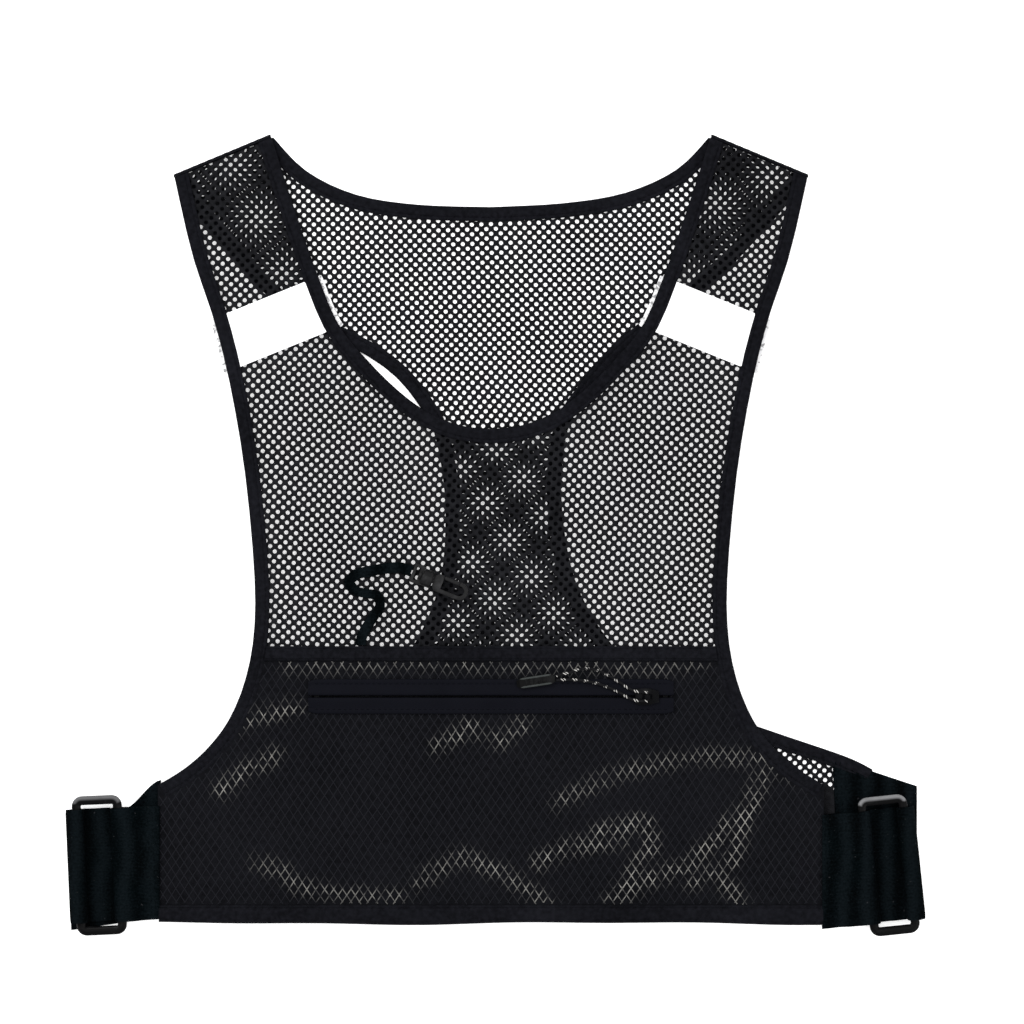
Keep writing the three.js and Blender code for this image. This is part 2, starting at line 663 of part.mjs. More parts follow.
function sideStrap(which, side) {
  const inner = [BACK_HEM_RISE, BACK_HEM_RISE + STRAP_WIDTH].map((rise) => {
    return settled(point(side * (BACK_SIDE + GAP), rise));
  });
  const reach = RING_REACH[which] + RING_WIDTH / 2 - RING_BAR / 2 + STRAP_SLACK;
  const end = side * (HALF_WIDTH + reach);
  const half = STRAP_WIDTH / 2;
  const rise = STRAP_END_RISE[which];
  const outline = [inner[0], point(end, rise - half), point(end, rise + half), inner[1]];
  return piece(`side_strap_${which}`, plate(outline, 0, STRAP_THICKNESS), ELASTIC_BLACK);
}

// ---- Key leash ----------------------------------------------------------------------------------
const LEASH_Z = ON_MESH_Z + LEASH_THICKNESS / 2;
const HOOK_CENTRE = { x: -34.7, y: POCKET_TOP + 37.2 };
const HOOK_SWEEP = Math.hypot(HOOK_WIDTH / 2, HOOK_HEIGHT / 2);
const HOOK_Z = Math.max(ON_MESH_Z + BARREL_RADIUS, FRONT_Z + CLOTH + TURN_CLEARANCE + HOOK_SWEEP);

function leashStrap() {
  // Across from the centre line, and up from the pocket's top
  const route = [
    [-71.4, 0.7],
    [-71.2, 3.6],
    [-69, 9],
    [-64.4, 16],
    [-60.8, 22.4],
    [-62.4, 27.4],
    [-68.4, 28.9],
    [-74.2, 30.4],
    [-77.6, 34.8],
    [-74.4, 39],
    [-67, 40.9],
    [-58.6, 42.4],
    [-50.2, 43.1],
    [-46.6, 42.15],
    [-43.6, 40.95],
  ];
  const curve = new THREE.CatmullRomCurve3(route.map(([x, y]) => new THREE.Vector3(x, POCKET_TOP + y, LEASH_Z)));
  const w = LEASH_WIDTH / 2;
  const t = LEASH_THICKNESS / 2;
  const section = new THREE.Shape([
    point(-t, -w + 0.5),
    point(-t + 0.3, -w),
    point(t - 0.3, -w),
    point(t, -w + 0.5),
    point(t, w - 0.5),
    point(t - 0.3, w),
    point(-t + 0.3, w),
    point(-t, w - 0.5),
  ]);
  const geometry = new THREE.ExtrudeGeometry(section, { steps: 40, extrudePath: curve, bevelEnabled: false });
  return piece("leash_strap", geometry, ELASTIC_BLACK);
}

// Turned solids about the hook's long axis
function turned(profile, segments) {
  return toSolid(new THREE.LatheGeometry(profile, segments).rotateZ(-Math.PI / 2));
}

function hookBase() {
  const half = BARREL_LENGTH / 2;
  const bore = SHANK_RADIUS + SHANK_CLEARANCE;
  const profile = [
    point(bore, -half),
    point(BARREL_RADIUS - 0.8, -half),
    point(BARREL_RADIUS, -half + 0.8),
    point(BARREL_RADIUS, half - 0.8),
    point(BARREL_RADIUS - 0.8, half),
    point(bore, half),
    point(bore, -half),
  ];
  const barrel = turned(profile, 20);
  const slotHalf = LEASH_WIDTH / 2 + LEASH_CLEARANCE;
  const slotStart = -SWIVEL_REACH + SWIVEL_WALL;
  const slot = rectangle(slotStart, -slotHalf, slotStart + SWIVEL_SLOT, slotHalf);
  const eyeHalf = slotHalf + SWIVEL_WALL;
  const eyeBox = rectangle(-SWIVEL_REACH, -eyeHalf, -half + 0.6, eyeHalf);
  const eye = toSolid(plate(eyeBox, -BARREL_RADIUS, SWIVEL_PLATE, [slot]));
  return piece("hook_base", toGeometry(barrel.add(eye)), PLASTIC_BLACK);
}

const HOOK_START = BARREL_LENGTH / 2 + 0.4;
const HOOK_SLOT_START = HOOK_START + 5;

function hookBody() {
  const half = BARREL_LENGTH / 2;
  const shank = [
    point(0, -half - 1.4),
    point(2.4, -half - 1.4),
    point(2.4, -half - GAP),
    point(SHANK_RADIUS, -half - GAP),
    point(SHANK_RADIUS, HOOK_START + 1),
    point(0, HOOK_START + 1),
  ];
  const w = HOOK_WIDTH / 2;
  const tip = HOOK_START + HOOK_LENGTH;
  const arc = (x, radius) => {
    return Array.from({ length: 9 }, (_, i) => {
      const angle = -Math.PI / 2 + (i * Math.PI) / 8;
      return point(x + radius * Math.cos(angle), radius * Math.sin(angle));
    });
  };
  const outer = [point(HOOK_START, -w + 2), point(HOOK_START + 2, -w), ...arc(tip - w, w)];
  const outline = [...outer, point(HOOK_START + 2, w), point(HOOK_START, w - 2)];
  const inner = w - HOOK_BAR;
  const slot = [point(HOOK_SLOT_START, inner), point(HOOK_SLOT_START, -inner), ...arc(tip - w, inner)];
  const body = toSolid(plate(outline, -HOOK_HEIGHT / 2, HOOK_HEIGHT, [slot]));
  const mouth = rectangle(HOOK_SLOT_START - GAP, inner - 0.01, tip - w - 1, w + 1);
  const open = body.subtract(toSolid(plate(mouth, -HOOK_HEIGHT, 2 * HOOK_HEIGHT)));
  return piece("hook_body", toGeometry(open.add(turned(shank, 12))), PLASTIC_BLACK);
}

function hookGate() {
  const w = HOOK_WIDTH / 2;
  const radius = HOOK_BAR / 2 - 0.05;
  const middle = w - HOOK_BAR / 2;
  const start = HOOK_SLOT_START + radius;
  const end = HOOK_START + HOOK_LENGTH - w - 1 - GAP;
  const back = Array.from({ length: 7 }, (_, i) => {
    const angle = Math.PI / 2 + (i * Math.PI) / 6;
    return point(start + radius * Math.cos(angle), middle + radius * Math.sin(angle));
  });
  const outline = [...back, point(end, middle - radius), point(end, middle + radius)];
  return piece("hook_gate", plate(outline, -HOOK_HEIGHT * 0.4, HOOK_HEIGHT * 0.8), METAL_DARK);
}

function hook() {
  const group = new THREE.Group();
  group.position.set(HOOK_CENTRE.x, HOOK_CENTRE.y, HOOK_Z);
  group.rotation.z = radians(HOOK_TURN);
  group.add(hookBase(), hookBody(), hookGate());
  return group;
}

// ---- The vest -----------------------------------------------------------------------------------
const vest = new THREE.Group();
vest.add(...rearLayer(), ...frontLayer());
vest.add(shoulderFold("shoulder_fold_left", -1), shoulderFold("shoulder_fold_right", 1));
vest.add(...pocket(), ...zipHalf("upper", 1), ...zipHalf("lower", -1));
vest.add(zipStop("zip_stop_left", -1), zipStop("zip_stop_right", 1));
vest.add(zipSlider(), pullCord(), pullTab());
vest.add(reflector("reflector_front_left", -1, ON_MESH_Z, false));
vest.add(reflector("reflector_front_right", 1, ON_MESH_Z, false));
vest.add(reflector("reflector_rear_left", -1, REAR_REFLECTOR_Z, true));
vest.add(reflector("reflector_rear_right", 1, REAR_REFLECTOR_Z, true));
vest.add(...sideSet("left", -1), sideStrap("left", -1));
vest.add(...sideSet("right", 1), sideStrap("right", 1));

// The origin is under the middle of the vest, without the leash and what is on it
const extent = new THREE.Box3().setFromObject(vest, true);
const middle = extent.getCenter(new THREE.Vector3());
vest.add(leashStrap(), hook());
vest.position.set(-middle.x, -middle.y, -extent.min.z);

const whole = new THREE.Group();
whole.add(vest);

export default whole;
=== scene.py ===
"""A lightweight mesh running vest lying flat: racerback rear layer, front layer with a zipped waist
pocket, stretch side straps on rectangular rings, and a key leash with a swivel hook."""

import json
import math

import bmesh
import bpy
import numpy as np
from mathutils import Matrix, Vector
from mathutils.geometry import delaunay_2d_cdt
from mathutils.kdtree import KDTree


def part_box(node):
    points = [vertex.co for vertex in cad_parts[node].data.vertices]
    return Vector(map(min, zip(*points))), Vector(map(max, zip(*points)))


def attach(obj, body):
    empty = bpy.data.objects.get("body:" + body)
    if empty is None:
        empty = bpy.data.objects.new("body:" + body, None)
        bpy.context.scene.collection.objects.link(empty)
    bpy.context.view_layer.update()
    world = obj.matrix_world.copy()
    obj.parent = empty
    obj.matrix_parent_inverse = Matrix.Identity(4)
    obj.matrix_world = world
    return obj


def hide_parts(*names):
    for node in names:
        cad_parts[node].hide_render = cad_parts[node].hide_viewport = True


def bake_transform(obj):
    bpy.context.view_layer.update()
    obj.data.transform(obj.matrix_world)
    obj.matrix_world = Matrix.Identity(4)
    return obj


bl_info = {
    "name": "Mesh Running Vest",
    "version": (1, 0, 0),
    "blender": (4, 5, 0),
    "location": "View3D > Sidebar > Vest",
    "description": "Cloth, bindings, straps and fittings of a running vest, round its frame",
    "category": "Add Mesh",
}

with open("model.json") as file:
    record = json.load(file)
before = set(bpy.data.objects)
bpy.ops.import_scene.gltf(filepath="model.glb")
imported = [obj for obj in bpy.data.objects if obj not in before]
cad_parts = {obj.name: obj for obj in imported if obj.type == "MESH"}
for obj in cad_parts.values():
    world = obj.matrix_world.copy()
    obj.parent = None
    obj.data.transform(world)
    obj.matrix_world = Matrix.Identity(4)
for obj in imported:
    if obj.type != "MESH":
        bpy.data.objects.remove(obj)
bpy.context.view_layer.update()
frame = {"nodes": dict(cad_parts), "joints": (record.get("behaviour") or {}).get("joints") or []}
MM = 0.001


# ---- Settings
def sized(name, description, default):
    return bpy.props.FloatProperty(
        name=name, description=description, default=default, unit="LENGTH"
    )


def turned(name, description, degrees):
    return bpy.props.FloatProperty(
        name=name, description=description, default=math.radians(degrees), subtype="ANGLE"
    )


def tinted(name, description, default):
    return bpy.props.FloatVectorProperty(
        name=name, description=description, default=default, subtype="COLOR", size=3
    )


class VestCloth(bpy.types.PropertyGroup):
    """The holed cloth, the pocket cloth and the net on it"""

    hole: sized("Hole", "Across one hole of the mesh", 0.0024)
    front_pitch: sized("Front pitch", "Between the front cloth's holes", 0.00385)
    back_pitch: sized("Back pitch", "Between the rear cloth's holes", 0.00372)
    front_turn: turned("Front turn", "Turn of the front cloth's rows of holes", 40.5)
    back_turn: turned("Back turn", "Turn of the rear cloth's rows of holes", 46.7)
    net_pitch: sized("Net pitch", "Between threads of the pocket's net", 0.004)
    net_lean: turned("Net lean", "Angle of the net's threads from the hem", 56.5)
    crease: sized("Crease", "Height of the pocket's soft creases", 0.0013)
    mesh_color: tinted("Mesh", "Colour of the holed cloth", (0.0055, 0.0056, 0.0065))
    pocket_color: tinted("Pocket", "Colour of the cloth under the net", (0.0033, 0.0034, 0.0043))
    net_color: tinted("Net", "Colour of the net where it catches the light", (0.2, 0.195, 0.18))


class VestTrim(bpy.types.PropertyGroup):
    """Bindings, elastic, zip and fittings"""

    stitch: sized("Stitch", "Length of one stitch", 0.0022)
    stitch_pitch: sized("Stitch pitch", "From stitch to stitch", 0.0031)
    binding_color: tinted("Binding", "Colour of the edge bindings", (0.0040, 0.0041, 0.0054))
    elastic_color: tinted("Elastic", "Colour of side straps and leash", (0.0011, 0.0017, 0.0021))
    zip_color: tinted("Zip", "Colour of the coated zip lips", (0.0031, 0.0033, 0.0052))
    plastic_color: tinted("Plastic", "Colour of rings and pull tab", (0.0019, 0.0019, 0.0021))
    reflector_color: tinted("Reflector", "Colour of the reflective tape", (0.93, 0.93, 0.94))


def settings():
    return bpy.context.scene.vest_cloth, bpy.context.scene.vest_trim


# ---- Outlines from the frame
def flat_loops(node):
    """The outlines of a flat piece's top face as arrays of X and Y, the longest first."""
    mesh = frame["nodes"][node].data
    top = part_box(node)[1].z
    directed = set()
    for face in mesh.polygons:
        corners = [mesh.vertices[i].co for i in face.vertices]
        if face.normal.z < 0.9 or min(c.z for c in corners) < top - 1e-5:
            continue
        keys = [(round(c.x, 6), round(c.y, 6)) for c in corners]
        directed.update(zip(keys, keys[1:] + keys[:1]))
    border = {a: b for a, b in directed if (b, a) not in directed}
    loops = []
    while border:
        start, step = border.popitem()
        loop = [start]
        while step != start and step in border:
            loop.append(step)
            step = border.pop(step)
        loops.append(np.array(loop))
    return sorted(loops, key=lambda loop: -np.ptp(loop, axis=0).sum())


def long_sides(loop):
    """The two long sides of a band, split at its four sharpest corners and running the same way."""
    before = loop - np.roll(loop, 1, axis=0)
    after = np.roll(loop, -1, axis=0) - loop
    cross = before[:, 0] * after[:, 1] - before[:, 1] * after[:, 0]
    turn = np.abs(np.arctan2(cross, (before * after).sum(axis=1)))
    corners = sorted(np.argsort(turn)[-4:])
    runs = []
    for first, last in zip(corners, corners[1:] + [corners[0] + len(loop)]):
        runs.append(loop[np.arange(first, last + 1) % len(loop)])
    runs.sort(key=length_of)
    return runs[-1], runs[-2][::-1]


def length_of(line):
    return np.linalg.norm(np.diff(line, axis=0), axis=1).sum()


def spaced(line, count):
    """The line with count points, evenly spaced along it."""
    line = np.asarray(line, float)
    along = np.concatenate([[0], np.cumsum(np.linalg.norm(np.diff(line, axis=0), axis=1))])
    wanted = np.linspace(0, along[-1], count)
    return np.stack([np.interp(wanted, along, line[:, i]) for i in range(line.shape[1])], axis=1)


def inside(points, loop):
    """Which points lie inside a closed outline."""
    x, y = points[:, 0], points[:, 1]
    found = np.zeros(len(points), bool)
    for a, b in zip(loop, np.roll(loop, -1, axis=0)):
        crosses = (a[1] > y) != (b[1] > y)
        if a[1] != b[1]:
            found ^= crosses & (x < (b[0] - a[0]) * (y - a[1]) / (b[1] - a[1]) + a[0])
    return found


def distance_to(points, line, closed=False):
    """How far each point is from a line of straight stretches."""
    ends = np.roll(line, -1, axis=0) if closed else line[1:]
    best = np.full(len(points), np.inf)
    for a, b in zip(line, ends):
        along = b - a
        share = np.clip(((points - a) @ along) / max(along @ along, 1e-18), 0, 1)
        best = np.minimum(best, np.linalg.norm(points - a - share[:, None] * along, axis=1))
    return best


def soft_step(value):
    """0 to 1 with a level start and end."""
    value = np.clip(value, 0, 1)
    return value * value * (3 - 2 * value)


# ---- Mesh building
class Shape:
    """Vertices and faces of one piece as it is put together."""

    def __init__(self):
        self.points = []
        self.faces = []
        self.values = []

    def add(self, points, faces, value=0.0):
        start = len(self.points)
        self.points.extend(map(tuple, points))
        self.faces.extend(tuple(start + i for i in face) for face in faces)
        self.values.extend([value] * len(points) if np.isscalar(value) else list(value))
        return self

    def rings(self, rings, closed=False, value=0.0):
        """Joins cross-sections of as many points each into a tube with closed ends."""
        count, sides = len(rings), len(rings[0])
        faces = []
        for i in range(count if closed else count - 1):
            here, there = i * sides, ((i + 1) % count) * sides
            for j in range(sides):
                k = (j + 1) % sides
                faces.append((here + j, here + k, there + k, there + j))
        if not closed:
            faces.append(tuple(range(sides))[::-1])
            faces.append(tuple((count - 1) * sides + j for j in range(sides)))
        return self.add(np.concatenate(rings), faces, value)

    def build(self, name, smooth_angle=50):
        mesh = bpy.data.meshes.new(name)
        mesh.from_pydata(self.points, [], self.faces)
        mesh.attributes.new("catch", "FLOAT", "POINT").data.foreach_set("value", self.values)
        mesh.validate()
        made = bpy.data.objects.new(name, mesh)
        bpy.context.scene.collection.objects.link(made)
        outward(mesh)
        mesh.shade_smooth()
        mesh.set_sharp_from_angle(angle=math.radians(smooth_angle))
        return made


def outward(mesh):
    """Turns all faces of a mesh to the outside."""
    work = bmesh.new()
    work.from_mesh(mesh)
    bmesh.ops.recalc_face_normals(work, faces=work.faces)
    work.to_mesh(mesh)
    work.free()


def place(piece, finish, body, slot, *nodes):
    """Gives a piece its material and body, and hides the frame nodes that it stands for."""
    piece.data.materials.clear()
    piece.data.materials.append(finish)
    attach(piece, body)
    if nodes:
        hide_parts(*nodes)
    return piece


def extruded(outline, triangles, low, high):
    """Points and faces of a sheet from its flat triangles, between two heights for each point."""
    count = len(outline)
    top = np.column_stack([outline, high])
    bottom = np.column_stack([outline, low])
    edges = set()
    for a, b, c in triangles:
        edges.update([(a, b), (b, c), (c, a)])
    walls = [(a, a + count, b + count, b) for a, b in edges if (b, a) not in edges]
    under = [(a + count, c + count, b + count) for a, b, c in triangles]
    return np.concatenate([top, bottom]), [tuple(t) for t in triangles] + under + walls


def triangulated(loops, extra=()):
    """Flat triangles over closed outlines and loose points, turning left, in millimetres inside."""
    scale = 1 / MM
    points, edges = [], []
    for loop in loops:
        start = len(points)
        points.extend(Vector(p * scale) for p in loop)
        edges.extend((start + i, start + (i + 1) % len(loop)) for i in range(len(loop)))
    points.extend(Vector(p * scale) for p in extra)
    found = delaunay_2d_cdt(points, edges, [], 0, 1e-5, False)
    flat = np.array([tuple(p) for p in found[0]]) * MM
    triangles = np.array([f for f in found[2] if len(f) == 3])
    a, b, c = (flat[triangles[:, i]] for i in range(3))
    area = (b - a)[:, 0] * (c - a)[:, 1] - (b - a)[:, 1] * (c - a)[:, 0]
    triangles[area < 0] = triangles[area < 0][:, ::-1]
    keep = np.abs(area) > 1e-13
    return flat, triangles[keep]


def compact(flat, triangles):
    """The same triangles without the points that none of them uses."""
    used, renumbered = np.unique(triangles, return_inverse=True)
    return flat[used], renumbered.reshape(-1, 3)


# ---- Shaders
class Value:
    """A number over a surface. Maths on it adds Math nodes."""

    def __init__(self, finish, socket):
        self.finish = finish
        self.socket = socket

    def __add__(self, other):
        return self.finish.maths("ADD", self, other)

    def __radd__(self, other):
        return self.finish.maths("ADD", other, self)

    def __sub__(self, other):
        return self.finish.maths("SUBTRACT", self, other)

    def __rsub__(self, other):
        return self.finish.maths("SUBTRACT", other, self)

    def __mul__(self, other):
        return self.finish.maths("MULTIPLY", self, other)

    def __rmul__(self, other):
        return self.finish.maths("MULTIPLY", other, self)

    def __pow__(self, other):
        return self.finish.maths("POWER", self, other)


class Finish:
    """One procedural material."""

    def __init__(self, name):
        self.material = bpy.data.materials.new(name)
        self.material.use_nodes = True
        self.tree = self.material.node_tree
        self.tree.nodes.clear()
        self.surface = self.tree.nodes.new("ShaderNodeBsdfPrincipled")
        output = self.tree.nodes.new("ShaderNodeOutputMaterial")
        self.tree.links.new(self.surface.outputs[0], output.inputs[0])
        self.place = self.node("ShaderNodeTexCoord", {}, {}, "Object")

    def feed(self, socket, value):
        if isinstance(value, Value):
            self.tree.links.new(value.socket, socket)
        elif value is not None:
            socket.default_value = (*value, 1) if isinstance(value, tuple) else value

    def node(self, kind, look, inputs, output=0):
        """Adds a node: look is set first, then the values or links of its sockets."""
        made = self.tree.nodes.new(kind)
        for key, value in look.items():
            if key == "stops":
                ramp = made.color_ramp
                for element, (position, shade) in zip(ramp.elements, value):
                    element.position = position
                    element.color = (shade, shade, shade, 1)
            else:
                setattr(made, key, value)
        for key, value in inputs.items():
            self.feed(made.inputs[key], value)
        return Value(self, made.outputs[output])

    def maths(self, operation, a, b=None):
        return self.node("ShaderNodeMath", {"operation": operation}, {0: a, 1: b})

    def mix(self, share, a, b):
        return self.node("ShaderNodeMix", {"data_type": "RGBA"}, {0: share, 6: a, 7: b}, 2)

    def noise(self, scale, detail):
        inputs = {"Vector": self.place, "Scale": scale, "Detail": detail}
        return self.node("ShaderNodeTexNoise", {}, inputs)

    def wave(self, scale, direction, distortion):
        look = {"bands_direction": direction}
        inputs = {"Vector": self.place, "Scale": scale, "Distortion": distortion}
        return self.node("ShaderNodeTexWave", look, inputs, 1)

    def between(self, value, low, high):
        """0 below low, 1 above high."""
        return self.node("ShaderNodeValToRGB", {"stops": [(low, 0), (high, 1)]}, {0: value})

    def attribute(self, name):
        return self.node("ShaderNodeAttribute", {"attribute_name": name}, {}, "Fac")

    def bump(self, height, strength, depth):
        inputs = {"Height": height, "Strength": strength, "Distance": depth}
        self.feed(self.surface.inputs["Normal"], self.node("ShaderNodeBump", {}, inputs))

    def set(self, **sockets):
        for name, value in sockets.items():
            self.feed(self.surface.inputs[name.replace("_", " ")], value)
        return self.material


def times(color, share):
    return tuple(channel * share for channel in color)


def fabric(name, color, light, wave_scale, grain, specular=0.015, rough=0.8):
    """Black cloth: a fine weave, lighter fibres in it, and a soft change of shade over it."""
    finish = Finish(name)
    weave = finish.wave(wave_scale, "X", 1.0) * finish.wave(wave_scale, "Y", 1.0)
    shade = finish.noise(grain, 3.0)
    drift = finish.noise(18.0, 1.0)
    share = finish.between(shade * 0.6 + weave * 0.25 + drift * 0.3, 0.35, 0.85)
    finish.bump(weave + shade * 0.5, 0.5, 0.00012)
    return finish.set(
        Base_Color=finish.mix(share, times(color, 0.8), times(color, light)),
        Roughness=rough + shade * 0.15 - 0.07,
        Specular_IOR_Level=specular,
    )


def elastic(name, color):
    """Ribbed elastic: ridges along the strap, a fine pick across it, and faint upright bands."""
    finish = Finish(name)
    ridge = finish.wave(420.0, "Y", 0.6)
    pick = finish.wave(700.0, "X", 0.8)
    bands = finish.wave(24.0, "X", 3.0)
    grain = finish.noise(900.0, 2.0)
    tint = finish.noise(40.0, 2.0)
    lint = finish.between(finish.noise(520.0, 1.0), 0.74, 0.8)
    dark = finish.mix(finish.between(tint, 0.35, 0.7), times(color, 0.4), (0.0004, 0.0012, 0.0015))
    share = finish.between(bands * 0.3 + grain * 0.7 + ridge * 0.2, 0.42, 0.9)
    lit = finish.mix(share, dark, times(color, 3.6))
    finish.bump(ridge * 0.7 + pick * 0.4 + grain * 0.3, 0.7, 0.00025)
    return finish.set(
        Base_Color=finish.mix(lint * 0.25, lit, (0.06, 0.06, 0.065)),
        Roughness=0.72 + grain * 0.16,
        Specular_IOR_Level=0.008,
    )


def net_thread(name, color, glow):
    """Net threads that catch the light along creases and stay dark elsewhere."""
    finish = Finish(name)
    breakup = finish.between(finish.noise(210.0, 3.0), 0.4, 0.6)
    catch = finish.attribute("catch")
    fine = finish.noise(700.0, 1.0)
    share = (catch ** 1.3) * (breakup * 0.85 + 0.15) * (fine * 0.8 + 0.7)
    finish.bump(fine, 0.4, 0.0001)
    return finish.set(
        Base_Color=finish.mix(share, times(color, 2.6), glow),
        Roughness=0.62 - share * 0.12,
        Specular_IOR_Level=0.02,
    )


def moulded(name, color, rough, specular, scratches):
    """Moulded plastic or painted metal with a fine grain, light scuffs and painted edge highlights.
    """
    finish = Finish(name)
    grain = finish.noise(1500.0, 2.0)
    scuff = finish.between(finish.noise(160.0, 4.0), 0.52, 0.72)
    # painted highlight: where a piece's catch attribute is set (the rings' upper bars) the colour
    # is lifted towards pale grey
    painted_highlight = finish.attribute("catch") * (1 - scuff * 0.3)
    scuffed = finish.mix(scuff * scratches, color, (0.2, 0.2, 0.21))
    finish.bump(grain, 0.25, 0.00006)
    return finish.set(
        Base_Color=finish.mix(painted_highlight, scuffed, (0.15, 0.15, 0.155)),
        Roughness=rough + grain * 0.1 + scuff * 0.08,
        Specular_IOR_Level=specular,
    )


def coated(name, color):
    """The smooth coated face of the zip's lips."""
    finish = Finish(name)
    pebble = finish.noise(1100.0, 2.0)
    drift = finish.noise(60.0, 2.0)
    finish.bump(pebble, 0.2, 0.00006)
    return finish.set(
        Base_Color=finish.mix(drift * 0.6 + pebble * 0.2, times(color, 0.8), times(color, 1.5)),
        Roughness=0.52 + pebble * 0.12,
        Specular_IOR_Level=0.02,
    )


def reflective(name, color, worn):
    """Glass-bead tape: a fine honeycomb in a near-white face, and specks where it is worn."""
    finish = Finish(name)
    inputs = {"Vector": finish.place, "Scale": 900.0}
    beads = finish.node("ShaderNodeTexVoronoi", {"feature": "DISTANCE_TO_EDGE"}, inputs)
    cell = finish.between(beads, 0.02, 0.1)
    specks = finish.between(finish.noise(520.0, 3.0), 0.5, 0.6)
    finish.bump(cell, 0.15, 0.00008)
    face = finish.mix(cell, times(color, 0.94), color)
    return finish.set(
        Base_Color=finish.mix(specks * worn, face, (0.03, 0.03, 0.035)),
        Roughness=0.42 + cell * 0.08,
        Specular_IOR_Level=0.5,
    )


def flecked(name):
    """Thin braid, black with light yarns that show in short flecks."""
    finish = Finish(name)
    catch = finish.attribute("catch")
    fibre = finish.noise(2200.0, 2.0)
    finish.bump(fibre, 0.4, 0.0001)
    return finish.set(
        Base_Color=finish.mix(catch, (0.006, 0.006, 0.007), (0.42, 0.41, 0.39)),
        Roughness=0.6 + fibre * 0.15,
        Specular_IOR_Level=0.06,
    )


LOOKS = {}


def looks():
    """The vest's materials, made once."""
    if not LOOKS:
        cloth, trim = settings()
        tape, silver = trim.reflector_color, times(trim.reflector_color, 0.86)
        binding = times(trim.binding_color, 0.8)
        LOOKS.update({
            "mesh": fabric("holed_mesh", cloth.mesh_color, 3.2, 1400.0, 260.0),
            "pocket": fabric("pocket_cloth", cloth.pocket_color, 2.4, 1300.0, 300.0, 0.01, 0.7),
            "net": net_thread("pocket_net", cloth.pocket_color, tuple(cloth.net_color)),
            "binding": fabric("edge_binding", binding, 3.2, 900.0, 420.0),
            "elastic": elastic("ribbed_elastic", trim.elastic_color),
            "zip": coated("coated_zip", trim.zip_color),
            "plastic": moulded("black_plastic", tuple(trim.plastic_color), 0.2, 0.045, 0.03),
            "hook": moulded("smoky_plastic", (0.007, 0.007, 0.0075), 0.25, 0.1, 0.08),
            "edge": moulded("grey_tab_edge", (0.03, 0.034, 0.033), 0.45, 0.08, 0.06),
            "metal": moulded("painted_metal", (0.0012, 0.0013, 0.0018), 0.35, 0.04, 0.03),
            "front tape": reflective("front_reflector", tuple(tape), 0.0),
            "rear tape": reflective("rear_reflector", silver, 0.7),
            "cord": flecked("flecked_cord"),
        })
    return LOOKS


# ---- Stitching
STITCH_RADIUS = 0.00024


def stitch_row(shape, line, z):
    """Adds a row of stitches along a line at one height."""
    trim = settings()[1]
    count = int(length_of(line) / trim.stitch_pitch)
    if count < 2:
        return
    fine = spaced(line, count * 4 + 1)
    half = trim.stitch / 2
    for i in range(count):
        middle = fine[min(i * 4 + 2, len(fine) - 2)]
        along = fine[min(i * 4 + 3, len(fine) - 1)] - fine[i * 4 + 1]
        along = along / max(np.linalg.norm(along), 1e-9)
        side = np.array([-along[1], along[0]]) * STITCH_RADIUS
        points = [(*(middle - along * half), z - STITCH_RADIUS)]
        for reach in (-0.55, 0.55):
            core = middle + along * half * reach
            points += [
                (*(core + side), z),
                (*core, z + STITCH_RADIUS),
                (*(core - side), z),
                (*core, z - STITCH_RADIUS),
            ]
        points.append((*(middle + along * half), z - STITCH_RADIUS))
        faces = []
        for j in range(4):
            k = (j + 1) % 4
            faces += [(0, 1 + k, 1 + j), (1 + j, 1 + k, 5 + k, 5 + j), (5 + j, 5 + k, 9)]
        shape.add(points, faces)


# ---- Edge bindings
TAPE_WIDTH = 7.5
GROOVE = 5.8  # mm from the outer edge to the stitches
BINDING_SECTION = [
    (0.5, 0.0), (0.05, 0.4), (0.0, 1.1), (0.2, 1.65), (0.75, 1.95), (2.2, 1.9), (4.2, 1.86),
    (5.3, 1.84), (5.8, 1.5), (6.3, 1.8), (7.4, 1.75), (7.85, 1.5), (7.95, 0.98), (7.45, 0.96),
    (7.45, 0.0),
]  # millimetres across from the outer edge, and up from the underside
BAND_STEP = 0.0025  # between cross-sections of a band


def outer_first(a, b, node):
    """The two long sides of a binding, the outer edge of the cloth first."""
    cloth = "front_mesh" if node.startswith("front") else "back_mesh"
    mesh_edge = flat_loops(cloth)[0]
    far = distance_to(spaced(a, 12), mesh_edge, True).mean()
    near = distance_to(spaced(b, 12), mesh_edge, True).mean()
    return (a, b) if far > near else (b, a)


def swept_band(shape, outer, inner, section, low):
    """Sweeps a section given for a tape's width between two lines, and returns its stitch line."""
    length = length_of(outer)
    count = max(4, int(length / BAND_STEP))
    a, b = spaced(outer, count), spaced(inner, count)
    wobble = np.sin(np.linspace(0, length * 260, count)) * 0.00004
    rings = []
    for i in range(count):
        ring = []
        for across, up in section:
            flat = a[i] + (b[i] - a[i]) * (across / TAPE_WIDTH)
            ring.append((*flat, low + up * MM + wobble[i] * (up > 0.3)))
        rings.append(np.array(ring))
    shape.rings(rings)
    return a + (b - a) * (GROOVE / TAPE_WIDTH)


def edge_binding(node):
    """Folded tape over one edge of the cloth, stitched down."""
    outer, inner = outer_first(*long_sides(flat_loops(node)[0]), node)
    low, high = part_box(node)
    shape = Shape()
    groove = swept_band(shape, outer, inner, BINDING_SECTION, low.z)
    stitch_row(shape, groove, high.z - 0.00022)
    return place(shape.build(f"{node}_tape", 40), looks()["binding"], "vest", "binding_tape", node)


class VEST_OT_bindings(bpy.types.Operator):
    """Folded tape round the neck and armholes of both layers, with its stitching"""

    bl_idname = "vest.bindings"
    bl_label = "Edge Bindings"

    def execute(self, context):
        for layer in ("front", "back"):
            for end in ("neck_binding", "armhole_binding_left", "armhole_binding_right"):
                edge_binding(f"{layer}_{end}")
        return {"FINISHED"}


